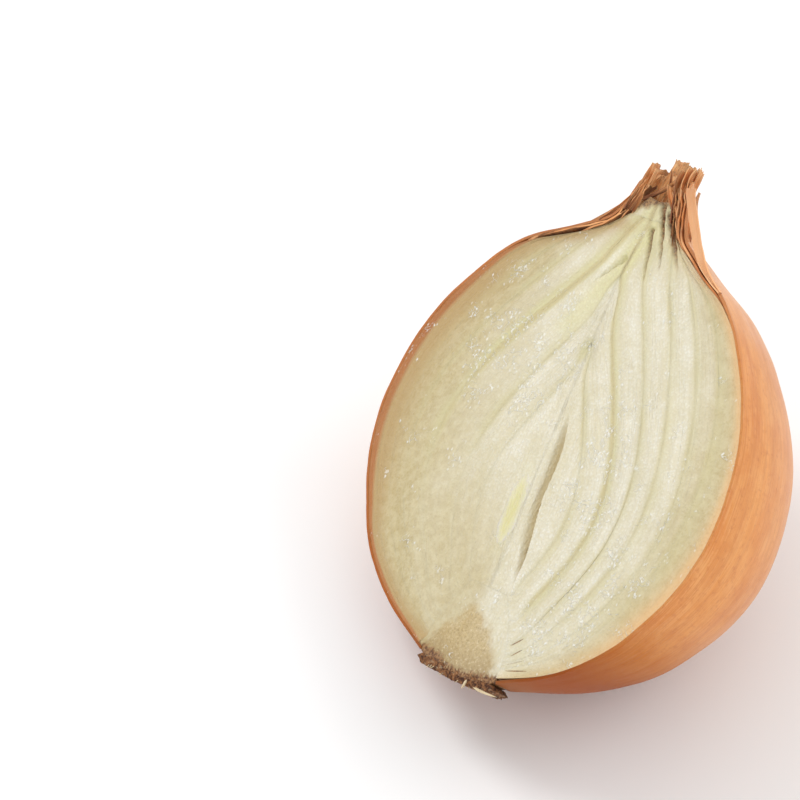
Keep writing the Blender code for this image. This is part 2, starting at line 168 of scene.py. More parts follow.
# The small dip in the upper half of the cut face, tinted darker there with painted shade
PIT = (-4.9, 56.0)
PIT_DEPTH = 0.08

# The blunt, torn bundles that end the neck. from and to: angles round the axis, in degrees
NECK_BUNDLES = (
    {"from": 180, "to": 146, "blades": 3, "radius": 6.0, "top": 88.9, "width": 2.4, "lean": (0.0, 0.0, 0.0)},
    {"from": 140, "to": 72, "blades": 4, "radius": 4.4, "top": 91.2, "width": 2.6, "lean": (-0.5, 0.0, 0.0)},
    {"from": 64, "to": 6, "blades": 4, "radius": 4.9, "top": 90.2, "width": 2.5, "lean": (0.9, -0.4, 0.0)},
)
BUNDLE_LAYERS = 3
BUNDLE_FOOT = (5.6, 80.0)  # radius and height
# The strips that the knife laid open: foot and tip on the cut face, how far behind it, width and bow
NECK_STRIPS = (
    ((0.8, 81.4), (-3.6, 85.5), 0.5, 1.3, 0.3), ((2.9, 79.5), (-1.9, 85.2), 0.3, 1.1, 0.4),
    ((4.0, 78.3), (-1.3, 86.4), 0.4, 1.2, 0.5), ((4.9, 77.9), (-0.5, 87.2), 0.6, 1.4, 0.6),
    ((2.2, 80.6), (-2.6, 87.6), 1.1, 1.5, 0.3), ((0.2, 82.2), (-4.3, 88.0), 1.0, 1.5, 0.2),
    ((-7.9, 82.4), (-2.1, 87.3), 0.0, 1.3, 0.3), ((-1.4, 83.4), (-5.5, 88.9), 1.3, 1.6, -0.2),
    ((-18.3, 74.7), (-9.0, 84.0), 0.2, 0.9, 1.7), ((-14.4, 77.1), (-8.3, 86.2), 0.3, 1.0, 1.2),
    ((-12.5, 78.7), (-7.4, 88.0), 0.6, 1.3, 0.5), ((-10.8, 79.8), (-6.6, 87.4), 0.2, 1.0, 0.3),
    ((3.6, 80.0), (0.2, 87.6), 0.9, 1.2, 0.3), ((1.6, 81.2), (-3.4, 86.2), 0.1, 0.9, -0.5),
)

# The stem's outline on the cut face
STEM_OUTLINE = (
    (-12.0, -3.0), (-9.6, -0.4), (-8.3, 3.0), (-5.5, 6.4), (-3.6, 9.0), (-2.3, 10.3), (-0.9, 9.9),
    (2.2, 7.7), (5.4, 5.6), (7.2, 2.3), (9.4, -3.0),
)
STEM_UNDER = ((8.5, -0.1), (7.0, -0.9), (0.0, -1.4))  # (radius, height)
# How high the dead brown of the root end reaches on the cut face
BROWN_EDGE = ((-10.0, -0.3), (-8.1, 0.2), (-4.6, -0.1), (-2.7, -0.9), (1.2, -1.1), (6.7, 0.0), (9.0, 0.4))
ROOT_PAD = ((0.0, -0.8), (8.6, -0.4), (9.3, -1.1), (7.8, -2.0), (0.0, -2.4))  # (radius, height)
# The roots: name, count, how far they are straw, and the shortest and longest, thinnest and thickest
ROOTS = (
    ("brown_roots", 420, 0.0, (0.4, 1.1), (0.06, 0.15)), ("straw_roots", 34, 1.0, (0.5, 1.4), (0.07, 0.13)),
)
# The two long straw roots that lie on the root end: both ends on the cut face
LONG_STRAWS = (((3.5, -1.3), (3.2, -3.1)), ((5.4, -2.0), (10.6, -2.4)))
LONG_STRAW_RADIUS = 0.24


def curve_through(points):
    """A smooth curve through the points, as a function that takes one number or an array."""
    x, y = (np.array(values, float) for values in zip(*points))
    slope = np.gradient(y, x)

    def at(value):
        value = np.clip(value, x[0], x[-1])
        i = np.clip(np.searchsorted(x, value) - 1, 0, len(x) - 2)
        step = x[i + 1] - x[i]
        s = (value - x[i]) / step
        rise = (3 - 2 * s) * s * s
        bend = step * s * (1 - s) * ((1 - s) * slope[i] - s * slope[i + 1])
        return y[i] * (1 - rise) + y[i + 1] * rise + bend

    return at


outline_share = curve_through(OUTLINE)
lean_at = curve_through(LEAN)
sway_at = curve_through(NECK_SWAY)
slit_left = curve_through(SLIT_LEFT)
slit_right = curve_through(SLIT_RIGHT)
stem_top = curve_through(STEM_OUTLINE)
brown_top = curve_through(BROWN_EDGE)


def bulb_radius(height):
    return RADIUS * outline_share(height / HEIGHT)


def smooth_step(value, low, high):
    s = np.clip((value - low) / (high - low), 0.0, 1.0)
    return s * s * (3 - 2 * s)


def across_face(x, z):
    """The x on the cut face of an upright x: leant, and swayed in the neck."""
    return x + lean_at(z / HEIGHT) + sway_at(z) * smooth_step(x / bulb_radius(z), -0.5, 0.9)


def hump(distance, width):
    """1 at no distance, falling smoothly to nothing over about two widths."""
    return np.exp(-((distance / width) ** 2))


def spread(count):
    """Shares from 0 to 1, closer together at both ends."""
    return (1 - np.cos(np.pi * np.linspace(0, 1, count))) / 2


def set_in(curve, distance):
    """The curve of (radius, height) points, moved inwards along its normals."""
    along = np.gradient(curve, axis=0)
    along /= np.linalg.norm(along, axis=1)[:, None]
    return curve + np.reshape(distance, (-1, 1)) * np.column_stack((-along[:, 1], along[:, 0]))


def skin_curve(rows, foot=0.0, top=SHEATH_TOP):
    heights = foot + (top - foot) * spread(rows + 1)
    return np.column_stack((bulb_radius(heights), heights))


def surface_curve(surface, rows):
    """The surface between two scales: the bulb's outline drawn in and narrowed to a point."""
    share = spread(rows + 1)
    size = surface["share"] * RADIUS
    point = surface["point"]

    def shape(s):
        return (1 - point) * outline_share(s) + point * np.sin(np.pi * s**SPINDLE_POWER)

    (foot_radius, foot), (tip_radius, tip) = surface["foot"], surface["tip"]
    radii = size * shape(share)
    radii += (foot_radius - size * shape(0.0)) * (1 - share) ** FOOT_BLEND
    radii += (tip_radius - size * shape(1.0)) * share**TIP_BLEND
    return np.column_stack((np.maximum(radii, 0.0), foot + (tip - foot) * share))


def flesh_curve(rows):
    """The outside of the outermost fleshy scale, under the skin and drawn in at the neck."""
    curve = skin_curve(rows, 0.0, FLESH_TIP[1])
    room = NECK_ROOM * smooth_step(curve[:, 1], NECK_ROOM_FROM, NECK_ROOM_TO)
    curve = set_in(curve, SKIN + FLESH_CLEAR + room)
    share = spread(rows + 1)
    curve += (1 - share[:, None]) ** (4 * FOOT_BLEND) * (np.array(FLESH_FOOT) - curve[0])
    curve += share[:, None] ** TIP_BLEND * (np.array(FLESH_TIP) - curve[-1])
    return curve


def clear_of(curve, distance):
    """A little to one side of a surface that two scales share, and never past the axis."""
    moved = set_in(curve, distance)
    moved[:, 0] = np.maximum(moved[:, 0], 0.0)
    return moved


def reach_along(curve):
    return np.concatenate(([0.0], np.cumsum(np.linalg.norm(np.diff(curve, axis=0), axis=1))))


def respaced(curve, pattern):
    """The curve with as many points as the pattern has, spaced along it in the same shares."""
    reach, wanted = reach_along(np.asarray(curve, float)), reach_along(np.asarray(pattern, float))
    at = wanted / wanted[-1] * reach[-1]
    return np.column_stack([np.interp(at, reach, np.asarray(curve)[:, i]) for i in range(2)])


# Where the half lies

TURN = np.array((Matrix.Rotation(AXIS_RISE - math.pi / 2, 4, "X") @ Matrix.Rotation(-ROLL, 4, "Z")).to_3x3())


def skin_points(angle, height):
    """Points of the bulb's outer surface in the upright frame, one a row."""
    radius = bulb_radius(height)
    return np.column_stack((
        lean_at(height / HEIGHT) + radius * np.cos(angle), DEPTH_SHARE * radius * np.sin(angle), height
    ))


def find_flat_spot():
    """The lowest point of the bulb's back as it lies."""
    angles, heights = np.meshgrid(np.linspace(0, np.pi, 181), np.linspace(0, HEIGHT, 164))
    points = skin_points(angles.ravel(), heights.ravel()) @ TURN.T
    return points[points[:, 2].argmin()]


LOWEST = find_flat_spot()
ORIGIN = LOWEST + (0.0, 0.0, FLAT_SPOT)


def placed(points, skew=0.0, raised=0.0):
    """Upright points in the part's frame, in metres: leant, widened to one side and raised off the cut.

    What would pass the floor is pressed up to it, which makes the flat spot.
    """
    x, y, z = points.T
    radius = np.hypot(x, y)
    wide = 1 + skew * np.divide(x, radius, out=np.zeros_like(x), where=radius > 1e-6)
    upright = np.column_stack((across_face(x * wide, z), y * wide * DEPTH_SHARE - raised, z))
    behind = np.maximum(y * wide, 0.0)
    share = np.minimum(np.hypot(x * wide, behind) / bulb_radius(z), 1.0)
    outside = skin_points(np.arctan2(behind, x * wide), z) @ TURN[2] - ORIGIN[2]
    lying = upright @ TURN.T - ORIGIN
    lying[:, 2] += np.maximum(-outside, 0.0) * share**3
    return lying * MM


def rough(points, size, seed=0.0):
    """Smooth noise between about -1 and 1 at each point, with its bumps about size apart."""
    shift = Vector((seed * 7.3, seed * 3.1, seed * 5.7))
    return np.array([noise.noise(Vector(point) / size + shift) for point in points])


# Mesh helpers


def inside_box(points):
    """The finished points, with what would pass the solids' own box drawn back to it."""
    return np.clip(points, *(np.array(corner) for corner in CAD_BOX))


def face_out(bm):
    bmesh.ops.recalc_face_normals(bm, faces=bm.faces)
    if bm.calc_volume(signed=True) < 0:
        bmesh.ops.reverse_faces(bm, faces=bm.faces)


def turned(inner, outer, columns, steps, crowding=0.0):
    """A half shell: the strip between two curves, turned half way round the axis.

    Each vertex knows how far across and along the strip it lies, and how thick the strip is there.
    Crowding draws the columns closer to both curves.
    """
    bm = bmesh.new()
    across_layer = bm.verts.layers.float.new("across")
    along_layer = bm.verts.layers.float.new("along")
    thick_layer = bm.verts.layers.float.new("thick")
    rows = len(outer) - 1
    bmesh.ops.create_grid(bm, x_segments=columns, y_segments=rows, size=1.0)
    thickness = np.linalg.norm(outer - inner, axis=1)
    for vert in bm.verts:
        across = (1 - crowding) * (vert.co.x + 1) / 2 + crowding * (1 + math.sin(vert.co.x * math.pi / 2)) / 2
        row = round((vert.co.y + 1) / 2 * rows)
        radius, height = inner[row] * (1 - across) + outer[row] * across
        vert[across_layer] = across
        vert[along_layer] = row / rows
        vert[thick_layer] = thickness[row]
        vert.co = (radius, 0.0, height)
    geometry = bm.verts[:] + bm.edges[:] + bm.faces[:]
    bmesh.ops.spin(bm, geom=geometry, axis=(0, 0, 1), cent=(0, 0, 0), angle=math.pi, steps=steps)
    bmesh.ops.remove_doubles(bm, verts=bm.verts, dist=0.001)
    face_out(bm)
    return bm


def mesh_of(name, bm):
    mesh = bpy.data.meshes.new(name)
    bm.to_mesh(mesh)
    bm.free()
    return mesh


def points_of(mesh):
    points = np.empty(len(mesh.vertices) * 3, np.float32)
    mesh.vertices.foreach_get("co", points)
    return points.reshape(-1, 3).astype(float)


def set_points(mesh, points):
    mesh.vertices.foreach_set("co", points.astype(np.float32).ravel())
    mesh.update()


def marks_of(mesh, name):
    marks = np.empty(len(mesh.vertices), np.float32)
    mesh.attributes[name].data.foreach_get("value", marks)
    return marks.astype(float)


def set_marks(mesh, **marks):
    """Stores one number, or one vector, for each vertex under each name: the materials read them by name."""
    for name, values in marks.items():
        kind, key = ("FLOAT_VECTOR", "vector") if np.ndim(values) == 2 else ("FLOAT", "value")
        layer = mesh.attributes.get(name) or mesh.attributes.new(name, kind, "POINT")
        layer.data.foreach_set(key, np.asarray(values, np.float32).ravel())


def in_scene(name, data):
    thing = bpy.data.objects.new(name, data)
    bpy.context.scene.collection.objects.link(thing)
    return thing


def dress(mesh, look, slot, *nodes):
    """Makes the finished mesh a piece of the onion, which stands for the named nodes."""
    for layer in ("across", "along", "thick"):
        if layer in mesh.attributes:
            mesh.attributes.remove(mesh.attributes[layer])
    mesh.materials.append(look)
    mesh.shade_smooth()
    mesh.set_sharp_from_angle(angle=CRISP_CORNER)
    piece = in_scene(mesh.name, mesh)
    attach(piece, "root")
    if nodes:
        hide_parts(*nodes)
    return piece


def add_to(gathered, bm):
    """Adds a small closed shape to the ones gathered so far."""
    face_out(bm)
    mesh = mesh_of("part", bm)
    gathered.from_mesh(mesh)
    bpy.data.meshes.remove(mesh)


# The cut face


def flat_points(x, z):
    """Points of the cut face, as rough() takes them."""
    return np.column_stack((x, z, np.zeros_like(x)))


def knife_waves(x, z):
    """The shallow waves and the grain that the knife left, which run on from scale to scale."""
    points = flat_points(x, z)
    return 0.22 * rough(points, 15.0, 1) + 0.07 * rough(points, 3.5, 2) + 0.03 * rough(points, 0.9, 3)


def stem_mask(x, z):
    """1 inside the stem's outline on the cut face, fading out over its edge."""
    flat = flat_points(x, z)
    slope = np.minimum(np.abs(stem_top(x + 0.5) - stem_top(x - 0.5)), 3.0)
    inwards = (stem_top(x) - z) / np.hypot(1, slope)
    return smooth_step(inwards + 1.1 * rough(flat, 2.2, 5) + 0.6 * rough(flat, 0.8, 6), -1.8, 2.2)


def gritty_mask(x, z):
    """1 at the dead brown of the root end, where the stem is darker and gritty, fading upwards."""
    return 1 - smooth_step(z - brown_top(x), 0.3, 6.0)


def line_fade(x, z):
    """How clearly the scales part on the cut face: they run together low down on the left and at the stem."""
    left = 0.10 + 0.90 * smooth_step(z + 0.25 * x, 14.0, 48.0)
    right = 0.35 + 0.65 * smooth_step(z, 8.0, 20.0)
    side = smooth_step(x, -3.0, 3.0)
    patchy = 0.75 + 0.5 * rough(flat_points(x, z), 9.0, 4)
    return (left * (1 - side) + right * side) * patchy


def far_from(lx, z, start, end):
    """How far the points of the cut face lie from a straight line, and their share of the way along it."""
    run, rise = end[0] - start[0], end[1] - start[1]
    share = ((lx - start[0]) * run + (z - start[1]) * rise) / (run * run + rise * rise)
    at = np.clip(share, 0.0, 1.0)
    return np.hypot(lx - start[0] - at * run, z - start[1] - at * rise), at


def slits_and_grooves(lx, z, flat):
    """The fine slits and the dried grooves: how deep and how brown they are, and the tint beside them."""
    depth, dried, tint = (np.zeros_like(lx) for _ in range(3))
    for start, end, width, brown in FINE_SLITS:
        off, at = far_from(lx, z, start, end)
        slit = hump(off, width * (0.4 + 2.4 * at * (1 - at)))
        depth += SLIT_CUT * slit
        dried = np.maximum(dried, brown * slit)
        tint += 0.5 * hump(off, 0.8) * brown
    for start, end, width, brown in DRY_GROOVES:
        off, at = far_from(lx + 0.3 * rough(flat, 1.4, 14), z, start, end)
        dip = hump(off, width * (1 - 0.6 * at)) * (1 - at**2)
        depth += GROOVE_CUT * dip
        dried = np.maximum(dried, brown * dip)
        tint += 1.3 * brown * hump(off, 2.2 * width + 0.4) * (1 - at)
    neck_end = 0.8 * smooth_step(z - 0.25 * lx + 1.0 * rough(flat, 1.0, 15), 81.6, 84.2)
    return depth, np.maximum(dried, neck_end), tint


def cut_face(mesh, index):
    """Shapes the cut face of one scale, or of the heart, and marks it for its material."""
    points = points_of(mesh)
    across, along, thick = (marks_of(mesh, name) for name in ("across", "along", "thick"))
    x, y, z = points.T
    lx = across_face(x, z)
    flat = flat_points(lx, z)
    on_cut = np.abs(y) < 1e-3
    right = smooth_step(x, -0.5, 0.5)
    fade = line_fade(lx, z) * smooth_step(along, 0.03, 0.17)
    inner_mark = LINE_MARKS[min(index, HEART - 1)]
    outer_mark = LINE_MARKS[index - 1] if index else (0.0, 0.0)
    to_outer, to_inner = (1 - across) * thick, across * thick
    if index == HEART:
        to_inner = np.full_like(to_inner, NO_LINE)
    line, tint, groove, hollow = (np.zeros_like(x) for _ in range(4))
    edges = ((to_outer, outer_mark, OUTER_TINT), (to_inner, inner_mark, INNER_TINT))
    for edge, (left_mark, right_mark), tint_width in edges:
        strength = (left_mark * (1 - right) + right_mark * right) * fade
        shown = strength * (1 + LEFT_SHOWN * (1 - right))
        line += shown * hump(edge, LINE_WIDTH)
        tint += shown * hump(edge, tint_width)
        groove += strength * GROOVE_DEPTH * hump(edge, GROOVE_WIDTH)
    patchy = smooth_step(rough(flat * (1.0, 0.45, 1.0), 6.0, 17 + index), -0.5, 0.5)
    core = hump(across - 0.68, 0.24) * (0.35 + 0.65 * patchy)
    core *= smooth_step(thick, 1.5, 3.5) * (0.3 + 0.7 * fade)
    crown = CROWN * (1 - (2 * across - 1) ** 2) if index < HEART else 0.0
    relief = crown * fade + knife_waves(lx, z) - groove
    pit = hump(np.hypot(lx - PIT[0], 0.6 * (z - PIT[1])), 1.1)
    relief -= PIT_DEPTH * pit
    # painted shade: the dip is tinted darker
    tint += 1.3 * pit
    green = green_mask(lx, z, tint)
    if index == HEART:
        hollows = heart_hollows(lx, z)
        relief -= hollows
        # painted shade: the slit is tinted tan the deeper it goes
        hollow = smooth_step(hollows / SLIT_DEPTH, 0.0, 0.6)
        shoot_off, _ = far_from(lx, z, (SHOOT_FOOT.x, SHOOT_FOOT.z), (SHOOT_TOP.x, SHOOT_TOP.z))
        green = np.clip(green + 0.3 * hump(shoot_off, 2.3), 0.0, 1.0)
    cut_depth, dried, cut_tint = slits_and_grooves(lx, z, flat)
    relief -= cut_depth
    tint += cut_tint
    wet = np.full_like(x, 0.12)
    for patch_x, patch_z, reach in WET_PATCHES:
        wet += hump(np.hypot(lx - patch_x, z - patch_z), reach)
    skews = [0.0] + [surface["skew"] for surface in SURFACES]
    inner_skew = skews[index + 1] if index < HEART else 0.0
    skew = (inner_skew * (1 - across) + skews[index] * across) * np.sin(np.pi * along)
    rim, blush = rim_masks(x, z, skew)
    set_marks(
        mesh, line=line, tint=tint, core=core, wet=np.clip(wet, 0.0, 1.0), stem=stem_mask(lx, z),
        gritty=gritty_mask(lx, z), dried=dried, hollow=hollow, glassy=glassy_mask(x, z, flat), rim=rim,
        blush=blush, green=green, grain=np.column_stack((index * 3.0 + across * thick / 4, along, right))
    )
    if index == 0:
        filled = smooth_step(z, NECK_ROOM_FROM, NECK_ROOM_TO) - smooth_step(z, *NECK_ROOM_RIGHT)
        rightwards = x / np.maximum(np.hypot(x, y), 1e-6)
        points[:, 0] += NECK_ROOM * across * np.maximum(filled, 0.0) * smooth_step(rightwards, 0.0, 0.9)
        at_foot = ((1 + np.cos(np.pi * along)) / 2) ** (4 * FOOT_BLEND)
        points[:, 0] -= FOOT_GAP * across * at_foot * smooth_step(-rightwards, 0.0, 0.9)
    set_points(mesh, placed(points, skew, np.where(on_cut, relief, 0.0)))


def glassy_mask(x, z, flat):
    """Where the flesh is glassy and lets its depth show tan: towards the skin, and low down on the left."""
    share = np.abs(x) / bulb_radius(z) + 0.08 * rough(flat, 7.0, 16)
    left = smooth_step(share, 0.08, 0.86) * (1 - 0.6 * smooth_step(z, 66.0, 77.0))
    left = np.maximum(left, 0.62 * (1 - smooth_step(z + 0.5 * x, 10.0, 40.0)))
    right = np.maximum(0.9 * smooth_step(share, 0.62, 1.02), 0.35 * smooth_step(z, 66.0, 76.0))
    side = smooth_step(x, -3.0, 3.0)
    return left * (1 - side) + right * side


def rim_masks(x, z, skew):
    """1 at the skin, whose colour shines through: a deep orange rim on the left and a blush on the right.

    The rim reaches furthest in half way up.
    """
    side = smooth_step(x, -3.0, 3.0)
    slope = bulb_radius(z + 0.5) - bulb_radius(z - 0.5)
    to_skin = (bulb_radius(z) - np.abs(x) * (1 + skew * np.sign(x))) / np.hypot(1, slope) - SKIN
    to_skin = np.maximum(to_skin, 0.0)
    middle = smooth_step(z, 10.0, 34.0) * (1 - smooth_step(z, 56.0, 72.0))
    rim = np.exp(-to_skin / (1.9 + 2.9 * middle)) * (1 - side)
    low = 1 - smooth_step(z, 24.0, 46.0)
    blush = np.exp(-to_skin / (1.3 + 1.0 * low)) * side * (0.4 + 0.6 * smooth_step(z, 3.0, 20.0))
    return rim, blush


def green_mask(lx, z, tint):
    """The yellow-green tint: along the young leaves of the upper half, and faintly at each line."""
    upper = smooth_step(z, 54.0, 60.0) * (1 - smooth_step(z, 77.0, 82.0))
    along_leaf = hump(lx + 4.5 + 0.42 * (74.0 - z), 2.6) * upper
    return np.clip(0.6 * along_leaf + 0.35 * tint, 0.0, 1.0)


def heart_hollows(lx, z):
    """How deep the open slit beside the heart is: its left side slopes, and its right lip is crisp."""
    lip_left, lip_right = slit_left(z), slit_right(z)
    t = (lx - lip_left) / np.maximum(lip_right - lip_left, 0.05)
    opening = smooth_step(z, 14.6, 22.0) * (1 - smooth_step(z, 38.0, 45.4))
    return SLIT_DEPTH * opening * smooth_step(t, -0.35, 0.8) ** 1.5 * (1 - smooth_step(t, 0.95, 1.1))


# Materials


def put(tree, value, socket):
    """Links a socket to this one, or sets a plain value on it."""
    if isinstance(value, bpy.types.NodeSocket):
        tree.links.new(value, socket)
    elif socket.type == "RGBA":
        socket.default_value = (*value, 1.0)
    else:
        socket.default_value = value


def mixed(tree, factor, first, second):
    node = tree.nodes.new("ShaderNodeMix")
    node.data_type = "RGBA"
    put(tree, factor, node.inputs[0])
    put(tree, first, node.inputs[6])
    put(tree, second, node.inputs[7])
    return node.outputs[2]


def math_of(tree, operation, first, second=0.0):
    node = tree.nodes.new("ShaderNodeMath")
    node.operation = operation
    put(tree, first, node.inputs[0])
    put(tree, second, node.inputs[1])
    return node.outputs[0]


def mixed_value(tree, factor, first, second):
    node = tree.nodes.new("ShaderNodeMix")
    for value, socket in ((factor, 0), (first, 2), (second, 3)):
        put(tree, value, node.inputs[socket])
    return node.outputs[0]


def ranged(tree, value, low, high, to_low=0.0, to_high=1.0):
    """Follows the value smoothly from to_low to to_high while it goes from low to high."""
    node = tree.nodes.new("ShaderNodeMapRange")
    node.interpolation_type = "SMOOTHSTEP"
    put(tree, value, node.inputs["Value"])
    for name, number in (("From Min", low), ("From Max", high), ("To Min", to_low), ("To Max", to_high)):
        node.inputs[name].default_value = number
    return node.outputs["Result"]


def mark(tree, name, output="Fac"):
    node = tree.nodes.new("ShaderNodeAttribute")
    node.attribute_name = name
    return node.outputs[output]


def layered(tree, colour, *layers):
    """Lays tints over a colour, each as far as a mark or a value has grown.

    A layer is (the mark's name or the value, where it starts, where it is full, its most, its tint).
    """
    for follows, low, high, most, tint in layers:
        value = mark(tree, follows) if isinstance(follows, str) else follows
        colour = mixed(tree, ranged(tree, value, low, high, 0.0, most), colour, tint)
    return colour


def object_place(tree):
    return tree.nodes.new("ShaderNodeTexCoord").outputs["Object"]


def stretched(tree, vector, scale):
    node = tree.nodes.new("ShaderNodeMapping")
    put(tree, vector, node.inputs["Vector"])
    node.inputs["Scale"].default_value = scale
    return node.outputs["Vector"]


def noise_of(tree, vector, scale=1.0, detail=3.0, roughness=0.55):
    node = tree.nodes.new("ShaderNodeTexNoise")
    put(tree, vector, node.inputs["Vector"])
    put(tree, scale, node.inputs["Scale"])
    node.inputs["Detail"].default_value = detail
    node.inputs["Roughness"].default_value = roughness
    return node.outputs["Fac"]


def veins_group():
    """Fine lines and broad bands that run lengthwise.

    Grain is (across, along, a number for the side or the strip), and Fineness is how many lines there are.
    """
    tree = bpy.data.node_groups.new("lengthwise_veins", "ShaderNodeTree")
    tree.interface.new_socket("Grain", in_out="INPUT", socket_type="NodeSocketVector")
    tree.interface.new_socket("Fineness", in_out="INPUT", socket_type="NodeSocketFloat").default_value = 20.0
    tree.interface.new_socket("Stretch", in_out="INPUT", socket_type="NodeSocketFloat").default_value = 0.1
    tree.interface.new_socket("Lines", in_out="OUTPUT", socket_type="NodeSocketFloat")
    tree.interface.new_socket("Bands", in_out="OUTPUT", socket_type="NodeSocketFloat")
    inside = tree.nodes.new("NodeGroupInput")
    outside = tree.nodes.new("NodeGroupOutput")
    scale = tree.nodes.new("ShaderNodeCombineXYZ")
    scale.inputs["X"].default_value = 1.0
    tree.links.new(inside.outputs["Stretch"], scale.inputs["Y"])
    scale.inputs["Z"].default_value = 1.0
    drawn = tree.nodes.new("ShaderNodeVectorMath")
    drawn.operation = "MULTIPLY"
    tree.links.new(inside.outputs["Grain"], drawn.inputs[0])
    tree.links.new(scale.outputs["Vector"], drawn.inputs[1])
    fine = noise_of(tree, drawn.outputs["Vector"], inside.outputs["Fineness"], 4.0, 0.6)
    coarse_scale = math_of(tree, "MULTIPLY", inside.outputs["Fineness"], 0.22)
    coarse = noise_of(tree, drawn.outputs["Vector"], coarse_scale, 2.0, 0.5)
    tree.links.new(ranged(tree, fine, 0.42, 0.62), outside.inputs["Lines"])
    tree.links.new(ranged(tree, coarse, 0.35, 0.65), outside.inputs["Bands"])
    return tree


VEINS = veins_group()


def veins(tree, grain, fineness, stretch):
    node = tree.nodes.new("ShaderNodeGroup")
    node.node_tree = VEINS
    put(tree, grain, node.inputs["Grain"])
    node.inputs["Fineness"].default_value = fineness
    node.inputs["Stretch"].default_value = stretch
    return node.outputs["Lines"], node.outputs["Bands"]


def new_look(name, **constants):
    """A material with its shader, and the sockets that are the same all over set on the shader itself."""
    look = bpy.data.materials.new(name)
    look.use_nodes = True
    shader = look.node_tree.nodes["Principled BSDF"]
    for socket, value in constants.items():
        shader.inputs[socket.replace("_", " ")].default_value = value
    return look, look.node_tree, shader


def bumped(tree, shader, height, distance, strength=1.0):
    node = tree.nodes.new("ShaderNodeBump")
    node.inputs["Strength"].default_value = strength
    node.inputs["Distance"].default_value = distance
    put(tree, height, node.inputs["Height"])
    tree.links.new(node.outputs["Normal"], shader.inputs["Normal"])


def wet_group():
    """A wet cut: the dome of each cell, and the specks and short streaks of juice on it, which the flesh
    paints near-white as painted highlights.
    """
    tree = bpy.data.node_groups.new("wet_cells", "ShaderNodeTree")
    tree.interface.new_socket("Place", in_out="INPUT", socket_type="NodeSocketVector")
    tree.interface.new_socket("Wet", in_out="INPUT", socket_type="NodeSocketFloat")
    for name in ("Cells", "Glints"):
        tree.interface.new_socket(name, in_out="OUTPUT", socket_type="NodeSocketFloat")
    inside, outside = tree.nodes.new("NodeGroupInput"), tree.nodes.new("NodeGroupOutput")
    place = inside.outputs["Place"]
    cell = tree.nodes.new("ShaderNodeTexVoronoi")
    cell.inputs["Scale"].default_value = 2000.0
    tree.links.new(place, cell.inputs["Vector"])
    dome = ranged(tree, cell.outputs["Distance"], 0.0, 0.8, 1.0, 0.0)
    tree.links.new(mixed_value(tree, 0.45, dome, noise_of(tree, place, 1200.0, 3.0)), outside.inputs["Cells"])
    bead = tree.nodes.new("ShaderNodeTexVoronoi")
    bead.inputs["Scale"].default_value = 1500.0
    warped = tree.nodes.new("ShaderNodeVectorMath")
    warped.operation = "ADD"
    swirl = tree.nodes.new("ShaderNodeTexNoise")
    swirl.inputs["Scale"].default_value = 700.0
    tree.links.new(place, swirl.inputs["Vector"])
    shrunk = tree.nodes.new("ShaderNodeVectorMath")
    shrunk.operation = "SCALE"
    shrunk.inputs["Scale"].default_value = 0.0009
    tree.links.new(swirl.outputs["Color"], shrunk.inputs[0])
    tree.links.new(place, warped.inputs[0])
    tree.links.new(shrunk.outputs["Vector"], warped.inputs[1])
    tree.links.new(stretched(tree, warped.outputs["Vector"], (1.0, 0.6, 0.6)), bead.inputs["Vector"])
    more_there = math_of(tree, "MULTIPLY", inside.outputs["Wet"], 0.15)
    cluster = math_of(tree, "ADD", noise_of(tree, place, 230.0, 4.0), more_there)
    some = ranged(tree, bead.outputs["Color"], 0.42, 0.62)
    chosen = math_of(tree, "MULTIPLY", ranged(tree, cluster, 0.52, 0.66), some)
    dots = ranged(tree, bead.outputs["Distance"], 0.06, 0.42, 1.0, 0.0)
    bend = math_of(tree, "ABSOLUTE", math_of(tree, "SUBTRACT", noise_of(tree, place, 850.0, 1.0), 0.5))
    streaks = ranged(tree, bend, 0.005, 0.035, 0.8, 0.0)
    streaks = math_of(tree, "MULTIPLY", streaks, ranged(tree, cluster, 0.60, 0.70))
    bead_glints = math_of(tree, "MULTIPLY", dots, chosen)
    tree.links.new(math_of(tree, "MAXIMUM", bead_glints, streaks), outside.inputs["Glints"])
    return tree


